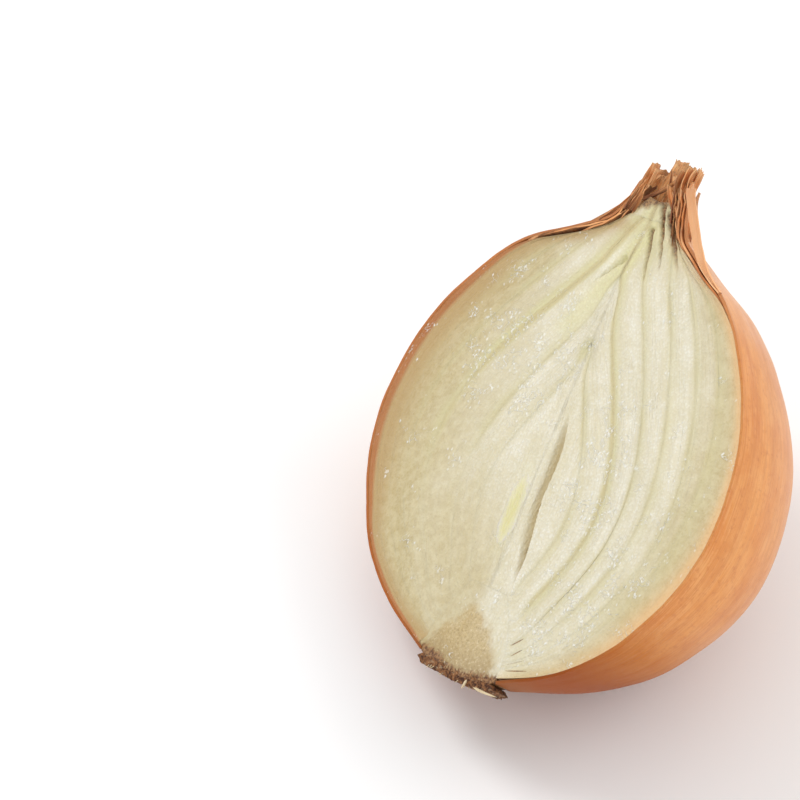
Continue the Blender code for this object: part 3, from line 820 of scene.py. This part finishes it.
def flesh_look():
    """Crisp, wet flesh: cream with lengthwise fibres, greener at the lines, glassy and tan outwards."""
    look, tree, shader = new_look(
        "flesh", Subsurface_Weight=0.3, Subsurface_Radius=(1.0, 0.9, 0.7), Subsurface_Scale=0.0005,
        IOR=1.38, Coat_Weight=0.1, Coat_Roughness=0.12
    )
    place = object_place(tree)
    grain = mark(tree, "grain", "Vector")
    lines, bands = veins(tree, grain, 5.0, 0.9)
    fibres, _ = veins(tree, grain, 16.0, 0.5)
    mottle = noise_of(tree, place, 260.0, 4.0)
    blotches = noise_of(tree, place, 650.0, 4.0, 0.65)
    glassy = mixed(tree, ranged(tree, blotches, 0.35, 0.65), (0.49, 0.385, 0.175), (0.60, 0.51, 0.285))
    wet = tree.nodes.new("ShaderNodeGroup")
    wet.node_tree = wet_group()
    put(tree, place, wet.inputs["Place"])
    put(tree, mark(tree, "wet"), wet.inputs["Wet"])
    cells, specks = wet.outputs["Cells"], wet.outputs["Glints"]
    colour = mixed(tree, bands, (0.785, 0.745, 0.610), (0.730, 0.675, 0.510))
    colour = layered(
        tree, colour, ("core", 0.05, 0.95, 0.62, (0.885, 0.865, 0.780)),
        (lines, 0.2, 1.0, 0.4, (0.845, 0.815, 0.710)),
        (fibres, 0.3, 1.0, 0.28, (0.65, 0.59, 0.41)), (mottle, 0.38, 0.66, 0.42, (0.69, 0.635, 0.45)),
        (blotches, 0.52, 0.72, 0.4, (0.87, 0.85, 0.77)), ("glassy", 0.0, 0.9, 0.92, glassy),
        ("tint", 0.0, 1.1, 0.72, (0.610, 0.560, 0.325)), ("green", 0.0, 1.0, 0.7, (0.73, 0.70, 0.37)),
        ("line", 0.1, 1.3, 0.7, (0.56, 0.46, 0.235))
    )
    # painted shade in the open slit beside the heart
    colour = mixed(tree, math_of(tree, "MULTIPLY", mark(tree, "hollow"), 0.7), colour, (0.68, 0.56, 0.33))
    colour = mixed(tree, ranged(tree, cells, 0.3, 0.7, 0.30, 0.0), colour, (0.60, 0.52, 0.32))
    colour = layered(
        tree, colour, ("blush", 0.05, 0.8, 0.85, (0.77, 0.49, 0.24)),
        ("rim", 0.03, 0.5, 0.85, (0.48, 0.32, 0.135)), ("rim", 0.60, 0.80, 0.9, (0.46, 0.165, 0.045))
    )
    gritty = noise_of(tree, place, 2100.0, 4.0, 0.7)
    stem_tan = mixed(tree, noise_of(tree, place, 420.0, 3.0), (0.52, 0.38, 0.17), (0.57, 0.43, 0.22))
    gritty_here = math_of(tree, "MULTIPLY", mark(tree, "gritty"), 0.85)
    stem_tan = mixed(tree, gritty_here, stem_tan, (0.36, 0.24, 0.095))
    stem_tan = mixed(tree, ranged(tree, gritty, 0.36, 0.5, 0.7, 0.0), stem_tan, (0.34, 0.22, 0.075))
    stem_tan = layered(tree, stem_tan, (gritty, 0.54, 0.68, 0.55, (0.80, 0.68, 0.45)))
    # painted highlights: the specks of juice are painted near-white, as glints
    colour = layered(
        tree, colour, ("stem", 0.0, 1.0, 0.82, stem_tan), (specks, 0.0, 1.0, 0.8, (0.95, 0.935, 0.87))
    )
    brown = mixed(tree, ranged(tree, gritty, 0.38, 0.6), (0.105, 0.035, 0.012), (0.36, 0.19, 0.075))
    colour = mixed(tree, ranged(tree, mark(tree, "dried"), 0.10, 0.95), colour, brown)
    tree.links.new(colour, shader.inputs["Base Color"])
    tree.links.new(ranged(tree, specks, 0.0, 1.0, 0.42, 0.12), shader.inputs["Roughness"])
    height = math_of(tree, "ADD", cells, math_of(tree, "MULTIPLY", lines, 0.6))
    bumped(tree, shader, math_of(tree, "ADD", height, math_of(tree, "MULTIPLY", specks, 1.2)), 0.00014, 0.9)
    return look


def skin_look():
    """Papery skin: orange, with lengthwise veins and a satin gloss; brown and dull at the root, and darkened
    with painted shade and dulled on the side that lies near the floor.
    """
    look, tree, shader = new_look(
        "dry_skin", Subsurface_Weight=0.05, Subsurface_Radius=(1.0, 0.4, 0.2), Subsurface_Scale=0.001,
        IOR=1.36, Specular_IOR_Level=0.12, Sheen_Weight=0.03, Sheen_Roughness=0.4, Coat_Roughness=0.4,
        Coat_IOR=1.4
    )
    place = object_place(tree)
    grain = mark(tree, "grain", "Vector")
    lines, bands = veins(tree, grain, 16.0, 0.05)
    thin_lines, _ = veins(tree, grain, 70.0, 0.02)
    patches = noise_of(tree, place, 70.0, 5.0, 0.62)
    blotches = noise_of(tree, stretched(tree, grain, (7.0, 3.0, 1.0)), 1.0, 5.0, 0.6)
    specks = noise_of(tree, place, 1100.0, 4.0, 0.7)
    colour = mixed(tree, bands, (0.79, 0.310, 0.072), (0.70, 0.240, 0.050))
    colour = layered(
        tree, colour, (patches, 0.40, 0.66, 0.55, (0.82, 0.375, 0.12)),
        (blotches, 0.44, 0.68, 0.22, (0.62, 0.195, 0.036))
    )
    vein_here = math_of(tree, "MULTIPLY", lines, ranged(tree, patches, 0.35, 0.6, 0.06, 0.32))
    colour = mixed(tree, vein_here, colour, (0.54, 0.155, 0.03))
    pale_here = math_of(tree, "MULTIPLY", thin_lines, ranged(tree, blotches, 0.42, 0.6, 0.4, 0.1))
    colour = mixed(tree, pale_here, colour, (0.90, 0.47, 0.19))
    colour = layered(tree, colour, (specks, 0.5, 0.72, 0.6, (0.60, 0.19, 0.045)))
    # low: the real brown of the root end, together with painted shade that darkens the side lying near the
    # floor
    tints = {"pale": (0.87, 0.49, 0.26), "low": (0.31, 0.062, 0.006), "edge": (0.50, 0.16, 0.04)}
    for name, tint in tints.items():
        colour = mixed(tree, mark(tree, name), colour, tint)
    colour = layered(tree, colour, ("dried", 0.0, 1.0, 0.85, (0.34, 0.115, 0.035)))
    tree.links.new(colour, shader.inputs["Base Color"])
    tree.links.new(ranged(tree, patches, 0.3, 0.7, 0.36, 0.5), shader.inputs["Roughness"])
    tree.links.new(ranged(tree, mark(tree, "low"), 0.0, 0.5, 0.6, 0.0), shader.inputs["Coat Weight"])
    broad = math_of(tree, "MULTIPLY", lines, 0.5)
    thin = math_of(tree, "MULTIPLY", thin_lines, 0.4)
    bumped(tree, shader, math_of(tree, "ADD", broad, thin), 0.00008, 0.7)
    return look


def leaf_look():
    """The dried leaf bases of the neck: fibrous, darkened with painted shade in the folds, at the strips'
    feet and off the cut face of the layers, and straw at the torn tips.
    """
    look, tree, shader = new_look("dry_leaf", Subsurface_Weight=0.05, Subsurface_Scale=0.001, IOR=1.45)
    place = object_place(tree)
    lines, bands = veins(tree, mark(tree, "grain", "Vector"), 7.0, 0.16)
    colour = mixed(tree, bands, (0.92, 0.41, 0.145), (0.64, 0.225, 0.06))
    spots = noise_of(tree, place, 400.0, 5.0)
    colour = layered(
        tree, colour, (lines, 0.2, 1.0, 0.6, (0.95, 0.55, 0.265)), ("tip", 0.4, 1.0, 0.5, (0.90, 0.58, 0.30)),
        (spots, 0.52, 0.7, 0.65, (0.33, 0.10, 0.025)), ("shade", 0.0, 1.0, 0.9, (0.16, 0.042, 0.011))
    )
    tree.links.new(colour, shader.inputs["Base Color"])
    shader.inputs["Roughness"].default_value = 0.62
    bumped(tree, shader, lines, 0.00015, 0.9)
    return look


def shoot_look():
    look, tree, shader = new_look(
        "young_shoot", Subsurface_Weight=0.35, Subsurface_Radius=(0.8, 1.0, 0.3), Subsurface_Scale=0.0015,
        IOR=1.38, Coat_Weight=0.1, Coat_Roughness=0.15
    )
    lines, bands = veins(tree, mark(tree, "grain", "Vector"), 6.0, 0.3)
    colour = mixed(tree, bands, (0.74, 0.685, 0.38), (0.70, 0.645, 0.34))
    colour = layered(
        tree, colour, (lines, 0.2, 1.0, 0.3, (0.78, 0.74, 0.51)),
        ("edge", 0.2, 0.95, 1.0, (0.74, 0.695, 0.525))
    )
    tree.links.new(colour, shader.inputs["Base Color"])
    tree.links.new(ranged(tree, lines, 0.0, 1.0, 0.25, 0.42), shader.inputs["Roughness"])
    bumped(tree, shader, lines, 0.0001, 0.6)
    return look


def root_look():
    """Dead roots: most of them dark brown, a few of them pale straw."""
    look, tree, shader = new_look("root", IOR=1.4)
    place = object_place(tree)
    crumb = noise_of(tree, place, 1500.0, 4.0, 0.7)
    brown = mixed(tree, ranged(tree, crumb, 0.38, 0.60), (0.045, 0.013, 0.005), (0.25, 0.105, 0.038))
    brown = layered(tree, brown, (crumb, 0.62, 0.70, 0.6, (0.62, 0.42, 0.22)))
    straw = mixed(tree, noise_of(tree, place, 800.0, 3.0), (0.55, 0.40, 0.22), (0.80, 0.68, 0.46))
    colour = mixed(tree, mark(tree, "straw"), brown, straw)
    tree.links.new(colour, shader.inputs["Base Color"])
    shader.inputs["Roughness"].default_value = 0.8
    bumped(tree, shader, noise_of(tree, place, 2000.0, 2.0), 0.0001, 0.8)
    return look


# The pieces


def add_scales(flesh):
    """The nested scales and the heart, each with its own cut edge on the face."""
    boundaries = [flesh_curve(FACE_ROWS)] + [surface_curve(surface, FACE_ROWS) for surface in SURFACES]
    half = FLESH_CLEAR / 2
    for index in range(HEART):
        outer = clear_of(boundaries[index], half if index else 0.0)
        inner = clear_of(boundaries[index + 1], -half)
        if index in SCALE_TIPS:
            inner = respaced(np.vstack((inner, SCALE_TIPS[index])), outer)
        mesh = mesh_of(f"fleshy_scale_{index + 1}", turned(inner, outer, FACE_COLUMNS, FLESH_STEPS, 0.7))
        cut_face(mesh, index)
        dress(mesh, flesh, "flesh", f"scale_{index + 1}")
    outer = clear_of(boundaries[HEART], half)
    middle = outer * (0.0, 1.0)
    mesh = mesh_of("heart_spindle", turned(middle, outer, HEART_COLUMNS, FLESH_STEPS))
    cut_face(mesh, HEART)
    dress(mesh, flesh, "flesh", "heart")


def add_shoot(look):
    """The young shoot, a slim spindle in its pocket."""
    bm = bmesh.new()
    bmesh.ops.create_uvsphere(bm, u_segments=40, v_segments=60, radius=1.0)
    mesh = mesh_of("green_shoot", bm)
    ball = points_of(mesh)
    axis = (SHOOT_TOP - SHOOT_FOOT) / 2
    turn = np.array(Vector((0, 0, 1)).rotation_difference(axis).to_matrix())
    ribs = 1 + 0.05 * np.sin(9 * np.arctan2(ball[:, 1], ball[:, 0]))
    body = ball * (SHOOT_WIDTH / 2, SHOOT_DEPTH / 2, axis.length)
    body[:, :2] *= ribs[:, None]
    points = np.array((SHOOT_TOP + SHOOT_FOOT) / 2) + body @ turn.T
    cut = -0.05 + 0.28 * ball[:, 0] ** 6 - knife_waves(points[:, 0], points[:, 2])
    points[:, 1] = np.maximum(points[:, 1] + 0.9, cut)
    points[:, 0] -= lean_at(points[:, 2] / HEIGHT)
    set_marks(mesh, grain=ball * (1.0, 1.0, 0.5), edge=np.abs(ball[:, 0]) + 0.9 * ball[:, 2] ** 2)
    set_points(mesh, placed(points))
    dress(mesh, look, "young_shoot", "shoot")


def add_stem(look):
    """The hard stem at the root end, rough where the knife went through it."""
    feet = np.array([FLESH_FOOT] + [surface["foot"] for surface in SURFACES])
    dome = set_in(feet, FLESH_CLEAR)[::-1]
    corners = np.vstack(((0.0, dome[0][1] - FLESH_CLEAR), dome, STEM_UNDER))
    inner = np.linspace(corners[0], corners[-1], STEM_ROWS + 1)
    outer = respaced(corners, inner)
    mesh = mesh_of("stem_plate", turned(inner, outer, 60, FLESH_STEPS))
    points = points_of(mesh)
    x, y, z = points.T
    lx = across_face(x, z)
    on_cut = np.abs(y) < 1e-3
    stem = stem_mask(lx, z)
    flat = flat_points(lx, z)
    crumbly = 1 - smooth_step(z - brown_top(lx), -0.3, 2.4)
    reach = np.clip((SURFACES[0]["foot"][1] - z) / (SURFACES[0]["foot"][1] - FLESH_FOOT[1]), 0.0, 1.0)
    reach *= (0.4 + 0.6 * smooth_step(z, -0.1, 0.9)) * smooth_step(-x, 4.0, 8.9)
    points[:, 0] -= FOOT_GAP * reach
    relief = knife_waves(lx, z) + stem * (0.08 * rough(flat, 0.9, 7) + 0.05 * rough(flat, 0.45, 8))
    relief += crumbly * (0.25 * rough(flat, 1.1, 9) - 0.15)
    dried = crumbly * smooth_step(rough(flat, 0.55, 10) + 1.3 * crumbly, 0.1, 1.1)
    set_marks(
        mesh, stem=stem, gritty=gritty_mask(lx, z), dried=dried, glassy=glassy_mask(x, z, flat),
        wet=np.full_like(x, 0.2), grain=flat_points(lx / 4 + 20.0, z / 30.0)
    )
    set_points(mesh, placed(points, 0.0, np.where(on_cut, relief, 0.0)))
    dress(mesh, look, "plate", "basal_plate")


def root_hair(draw, base, lie, length, radius):
    """One bent root: a slim tube rolled from a grid and closed to a point at both ends."""
    bm = bmesh.new()
    bmesh.ops.create_grid(bm, x_segments=5, y_segments=5, size=1.0)
    lie = Vector(lie).normalized()
    side = lie.orthogonal().normalized()
    other = lie.cross(side)
    bend = draw.uniform(-0.35, 0.35) * length
    for vert in bm.verts:
        angle, t = vert.co.x * math.pi, (vert.co.y + 1) / 2
        thick = radius * math.sin(math.pi * (0.06 + 0.94 * t) ** 0.6) ** 0.5 if 0.01 < t < 0.99 else 0.0
        ring = side * math.cos(angle) + other * math.sin(angle)
        vert.co = Vector(base) + lie * (length * t) + side * (bend * t * t) + ring * thick
    bmesh.ops.remove_doubles(bm, verts=bm.verts, dist=0.0005)
    return bm


def add_roots(look):
    """A crumbly pad under the stem, and the dead roots that stand out of it."""
    draw = random.Random(7)
    corners = np.array(ROOT_PAD)
    inner = np.linspace(corners[0], corners[-1], PAD_ROWS + 1)
    outer = respaced(corners, inner)
    pad = mesh_of("root_pad", turned(inner, outer, 20, 60))
    points = points_of(pad)
    crumble = 0.35 * rough(points, 1.1, 11) + 0.2 * rough(points, 0.5, 12)
    points *= 1 + crumble[:, None] * (0.09, 0.09, 0.22)
    set_marks(pad, straw=smooth_step(rough(points, 0.6, 13), 0.3, 0.6) * 0.35)
    set_points(pad, inside_box(placed(points)))
    dress(pad, look, "root")
    for name, count, straw, length, radius in ROOTS:
        gathered = bmesh.new()
        for _ in range(count):
            angle = math.pi * draw.uniform(0.0, 1.0)
            out = math.sqrt(draw.uniform(0.03, 1.0))
            if straw or draw.random() < 0.35:
                angle = draw.choice((0.0, math.pi)) + draw.uniform(0.0, 0.12) * draw.choice((-1, 1))
                out = draw.uniform(0.0, 1.0)
            away = Vector((math.cos(angle), abs(math.sin(angle)), 0.0))
            base = away * (8.4 * out) + Vector((0.0, 0.15, -1.5 + 0.5 * out * out))
            lie = Vector((draw.uniform(-0.7, 0.7), draw.uniform(-0.5, 0.2), -1.0)) + away * out * 0.9
            add_to(gathered, root_hair(draw, base, lie, draw.uniform(*length), draw.uniform(*radius)))
        for start, end in LONG_STRAWS if straw else ():
            base, tip = on_face(*start, -0.3), on_face(*end, -0.2)
            add_to(gathered, root_hair(draw, base, tip - base, (tip - base).length, LONG_STRAW_RADIUS))
        mesh = mesh_of(name, gathered)
        set_marks(mesh, straw=np.full(len(mesh.vertices), straw))
        set_points(mesh, inside_box(placed(points_of(mesh))))
        dress(mesh, look, "root", *(() if straw else ("roots",)))


def add_skin(look):
    """The papery outer skin, from the root end to the torn sheath of the neck."""
    outer = skin_curve(SKIN_ROWS)
    mesh = mesh_of("outer_skin", turned(set_in(outer, SKIN), outer, 2, SKIN_STEPS))
    points = points_of(mesh)
    across = marks_of(mesh, "across")
    x, y, z = points.T
    on_cut = np.abs(y) < 1e-3
    angle = np.arctan2(y, x)
    around = np.column_stack((np.cos(angle) * 3.0, np.sin(angle) * 3.0, z / 40.0))
    torn = smooth_step(z, SHEATH_TOP - 5.0, SHEATH_TOP)
    folds = smooth_step(z, 62.0, 80.0)
    ripple = 0.35 * folds * rough(around, 0.45, 21) + 0.10 * rough(around, 0.3, 22)
    out = points * (1.0, 1.0, 0.0)
    out /= np.maximum(np.linalg.norm(out, axis=1), 1e-6)[:, None]
    points += out * (np.minimum(ripple, 0.0))[:, None]
    ragged = 1.5 * np.sin(7 * angle + 0.6) + 0.9 * np.sin(13 * angle) - 0.8
    points[:, 2] += torn * (ragged + 1.2 * rough(around, 0.25, 23))
    edge_wave = flat_points(np.sign(x), z)
    lx = across_face(x, z)
    frayed = knife_waves(lx, z) + 0.03 + 0.06 * rough(edge_wave, 6.0, 24) + 0.05 * rough(edge_wave, 1.3, 25)
    lying = placed(points) / MM
    # painted shade: the skin darkens where it lies near the floor
    floor_shade = 1 - smooth_step(lying[:, 2], 3.0, 26.0)
    crisp = np.where(x < 0, 0.75, 0.05 + 0.5 * smooth_step(z, 58.0, 72.0))
    set_marks(
        mesh, low=np.clip(0.6 * floor_shade + 1.0 * (1 - smooth_step(z, 2.0, 24.0)), 0.0, 0.93),
        pale=0.55 * smooth_step(z, 62.0, 80.0),
        edge=np.where(on_cut, crisp, 0.25 * crisp * smooth_step(-np.abs(y), -0.8, 0.0)),
        dried=0.25 * smooth_step(z, 80.0, 87.0) + 0.8 * (1 - smooth_step(z, 0.3, 4.0)),
        grain=np.column_stack((angle * 2.0, z / 12.0, across))
    )
    set_points(mesh, inside_box(placed(points, 0.0, np.where(on_cut, frayed, 0.0))))
    dress(mesh, look, "dry_skin", "dry_skin")


def dry_layer(name, look, inset, foot, top, thickness, seed, left_from, right_from, *nodes):
    """A dry layer inside the neck, torn at its top: its cut edge wanders, and shows from two heights on."""
    outer = set_in(skin_curve(70, foot, top), inset)
    mesh = mesh_of(name, turned(set_in(outer, thickness), outer, 2, 48))
    points = points_of(mesh)
    x, y, z = points.T
    on_cut = np.abs(y) < 1e-3
    angle = np.arctan2(y, x)
    around = np.column_stack((np.cos(angle) * 3.0, np.sin(angle) * 3.0, z / 30.0))
    torn = smooth_step(z, top - 4.0, top)
    points[:, 2] += torn * (1.6 * rough(around, 0.5, seed) + 0.8 * rough(around, 0.2, seed + 1))
    side = flat_points(np.sign(x), z)
    wander = 0.25 + 0.5 * rough(side, 2.6, seed + 2) + 0.25 * rough(side, 0.9, seed + 3)
    points[:, :2] *= 1 - 0.02 * smooth_step(z, 70, 84)[:, None] * (1 + rough(around, 0.4, seed + 4))[:, None]
    shows_from = np.where(x < 0, left_from, right_from)
    share = smooth_step(z, shows_from - 1.0, shows_from + 2.0)
    set_marks(
        mesh, grain=np.column_stack((angle * 2.0, z / 12.0, np.full_like(x, seed))),
        tip=smooth_step(z, top - 3.0, top + 1.0),
        shade=np.where(on_cut, 0.35 + 0.4 * rough(side, 1.7, seed + 5), 0.8)
    )
    set_points(mesh, placed(points, 0.0, np.where(on_cut, wander * share - 0.6 * (1 - share), 0.0)))
    dress(mesh, look, "dry_leaf", *nodes)


def leaf_strip(draw, path, across, width, taper=0.0, curl=0.3, rag=0.9, thickness=0.16, foot_share=1.0):
    """A torn strip of dry leaf along a path of three upright points, cupped by curl and ragged at its end."""
    bm = bmesh.new()
    tip_layer = bm.verts.layers.float.new("tip")
    shade_layer = bm.verts.layers.float.new("shade")
    grain_layer = bm.verts.layers.float_vector.new("grain")
    bmesh.ops.create_grid(bm, x_segments=7, y_segments=18, size=1.0)
    foot, middle, tip = (Vector(point) for point in path)
    across = Vector(across).normalized()
    length = (tip - foot).length
    seed, twist, dark = draw.uniform(0, 100), draw.uniform(-0.3, 0.3), draw.choice((0.0, 0.0, 0.1, 0.6))
    for vert in bm.verts:
        a, t = vert.co.x, (vert.co.y + 1) / 2
        along = ((middle - foot).lerp(tip - middle, t)).normalized()
        out = along.cross(across).normalized()
        grown = foot_share + (1 - foot_share) * min(t / 0.45, 1.0)
        half = width / 2 * grown * (1 - taper * t + 0.25 * noise.noise(Vector((t * 3, seed, 0))))
        crinkle = 0.2 * noise.noise(Vector((a * 1.5, t * length / 2.2, seed)))
        turn = twist * t
        sideways = across * math.cos(turn) + out * math.sin(turn)
        upwards = out * math.cos(turn) - across * math.sin(turn)
        point = foot.lerp(middle, t).lerp(middle.lerp(tip, t), t) + sideways * (a * half)
        point += upwards * (curl * a * a + crinkle)
        torn = noise.noise(Vector((a * 1.3, seed, 3))) + 0.6 * noise.noise(Vector((a * 4.0, seed, 5)))
        point += along * (rag * t**4 * torn)
        vert[tip_layer] = t**4
        vert[shade_layer] = dark * (1 - 0.5 * t) + 0.75 * (1 - t) ** 2 + 0.25 * abs(a) ** 6
        vert[grain_layer] = Vector((a * width * 0.25 + seed, t * length / 12, seed))
        vert.co = point
    bmesh.ops.recalc_face_normals(bm, faces=bm.faces)
    bmesh.ops.solidify(bm, geom=bm.faces[:], thickness=thickness)
    return bm


def on_face(x, z, behind=0.0):
    """An upright point from an (x, height) measured on the cut face."""
    upright = x - float(lean_at(z / HEIGHT))
    return Vector((2 * upright - float(across_face(upright, z) - lean_at(z / HEIGHT)), behind, z))


def add_neck(look):
    """The torn leaf bases: blunt bundles that stand out of the neck, and the layers that the knife opened."""
    dry_layer("inner_dry_skin", look, *NECK_LAYERS[0], "dry_underskin")
    for number, layer in enumerate(NECK_LAYERS[1:], 1):
        dry_layer(f"neck_layer_{number}", look, *layer)
    draw = random.Random(11)
    gathered = bmesh.new()
    for bundle in NECK_BUNDLES:
        for layer in range(BUNDLE_LAYERS):
            for i in range(bundle["blades"]):
                share = (i + 0.5 + draw.uniform(-0.15, 0.15)) / bundle["blades"]
                angle = math.radians(bundle["from"] + (bundle["to"] - bundle["from"]) * share)
                away = Vector((math.cos(angle), math.sin(angle), 0.0))
                across = Vector((-math.sin(angle), math.cos(angle), 0.0))
                lean = Vector(bundle["lean"])
                foot_height = BUNDLE_FOOT[1] + draw.uniform(-0.8, 0.8)
                foot = away * (BUNDLE_FOOT[0] - 1.0 * layer) + Vector((0.0, 0.15, foot_height))
                tip_height = bundle["top"] - 0.5 * layer + draw.uniform(-0.5, 0.4)
                tip = away * (bundle["radius"] - 1.0 * layer) + lean + Vector((0.0, 0.15, tip_height))
                middle = foot.lerp(tip, 0.5) - away * draw.uniform(0.1, 0.5)
                add_to(gathered, leaf_strip(
                    draw, (foot, middle, tip), across, bundle["width"] * draw.uniform(0.85, 1.15), 0.1,
                    draw.uniform(-0.45, 0.1), 0.6
                ))
    for (foot_x, foot_z), (tip_x, tip_z), depth, width, bow in NECK_STRIPS:
        foot, tip = on_face(foot_x, foot_z, depth), on_face(tip_x, tip_z, depth + draw.uniform(-0.1, 0.3))
        middle = foot.lerp(tip, 0.5) + Vector((bow, draw.uniform(-0.3, 0.1), 0.0))
        across = (draw.uniform(0.5, 0.9), draw.uniform(0.3, 0.8), draw.uniform(-0.2, 0.2))
        add_to(gathered, leaf_strip(
            draw, (foot, middle, tip), across, width, 0.25, draw.uniform(-0.35, 0.35), 0.7, 0.13
        ))
    mesh = mesh_of("neck_leaves", gathered)
    set_points(mesh, inside_box(placed(points_of(mesh))))
    dress(mesh, look, "dry_leaf", "dry_neck")


def add_sheath_fold(look):
    """The smooth, pale fold of the sheath that stands open beside the cut, on the right of the neck."""
    draw = random.Random(5)
    foot, bend, tip = (on_face(x, z, -0.25) for x, z in SHEATH_FOLD)
    foot.y = 0.05
    bm = leaf_strip(draw, (foot, bend, tip), (1.0, 0.15, 0.3), 1.7, 0.1, -0.3, 0.6, 0.22, 0.05)
    mesh = mesh_of("sheath_fold", bm)
    none = np.zeros(len(mesh.vertices))
    set_marks(mesh, low=none, edge=none, pale=none + 0.75, dried=0.3 * marks_of(mesh, "tip"))
    set_points(mesh, inside_box(placed(points_of(mesh))))
    dress(mesh, look, "dry_skin")


# The stage

BULB_MIDDLE = (np.array((0.0, 0.0, HEIGHT / 2)) @ TURN.T - ORIGIN) * MM
CAMERA_RIGHT = Vector((0.860, 0.509, 0.0)).normalized()
CAMERA_UP = Vector((-0.390, 0.659, 0.643)).normalized()
CAMERA_BACK = CAMERA_RIGHT.cross(CAMERA_UP).normalized()
CAMERA_DISTANCE = 0.620
CAMERA_ASIDE = -0.026907
CAMERA_ABOVE = 0.006496
LENS = 171.36
# The soft panels: name, how far right, up and back from the bulb, size and power
LAMPS = (("key", -0.35, 0.55, 0.35, 0.3, 1.7), ("fill", 0.6, 0.3, 0.3, 0.5, 0.95))
SKY_STRENGTH = 0.87
FLOOR_REACH = 3.0
FLOOR_COLOUR = (0.93, 0.93, 0.93, 1.0)


def add_camera():
    camera = in_scene("camera", bpy.data.cameras.new("camera"))
    camera.data.lens = LENS
    camera.data.sensor_width = 36.0
    camera.data.clip_start = 0.01
    turn = Matrix((CAMERA_RIGHT, CAMERA_UP, CAMERA_BACK)).transposed().to_4x4()
    place = Vector(BULB_MIDDLE) + CAMERA_RIGHT * CAMERA_ASIDE + CAMERA_UP * CAMERA_ABOVE
    place += CAMERA_BACK * CAMERA_DISTANCE
    camera.matrix_world = Matrix.Translation(place) @ turn
    bpy.context.scene.camera = camera


def add_light(name, right, up, back, size, power):
    """A soft panel, placed from the bulb along the camera's own directions and turned to the bulb."""
    lamp = bpy.data.lights.new(name, "AREA")
    lamp.shape = "DISK"
    lamp.size = size
    lamp.energy = power
    away = CAMERA_RIGHT * right + CAMERA_UP * up + CAMERA_BACK * back
    turn = away.to_track_quat("Z", "Y").to_matrix().to_4x4()
    in_scene(name, lamp).matrix_world = Matrix.Translation(Vector(BULB_MIDDLE) + away) @ turn


def add_stage():
    bm = bmesh.new()
    bmesh.ops.create_grid(bm, x_segments=1, y_segments=1, size=FLOOR_REACH)
    floor_mesh = mesh_of("floor", bm)
    pale, _, _ = new_look("pale_floor", Roughness=0.9, Specular_IOR_Level=0.1, Base_Color=FLOOR_COLOUR)
    floor_mesh.materials.append(pale)
    floor = in_scene("floor", floor_mesh)
    world = bpy.data.worlds.new("soft_studio")
    world.use_nodes = True
    sky = world.node_tree.nodes["Background"]
    sky.inputs["Color"].default_value = (1.0, 1.0, 1.0, 1.0)
    sky.inputs["Strength"].default_value = SKY_STRENGTH
    bpy.context.scene.world = world
    bpy.context.scene.view_settings.view_transform = "Standard"
    for lamp in LAMPS:
        add_light(*lamp)


def main():
    flesh = flesh_look()
    add_scales(flesh)
    add_shoot(shoot_look())
    add_stem(flesh)
    add_roots(root_look())
    skin = skin_look()
    add_skin(skin)
    add_sheath_fold(skin)
    add_neck(leaf_look())
    add_stage()
    add_camera()


main()
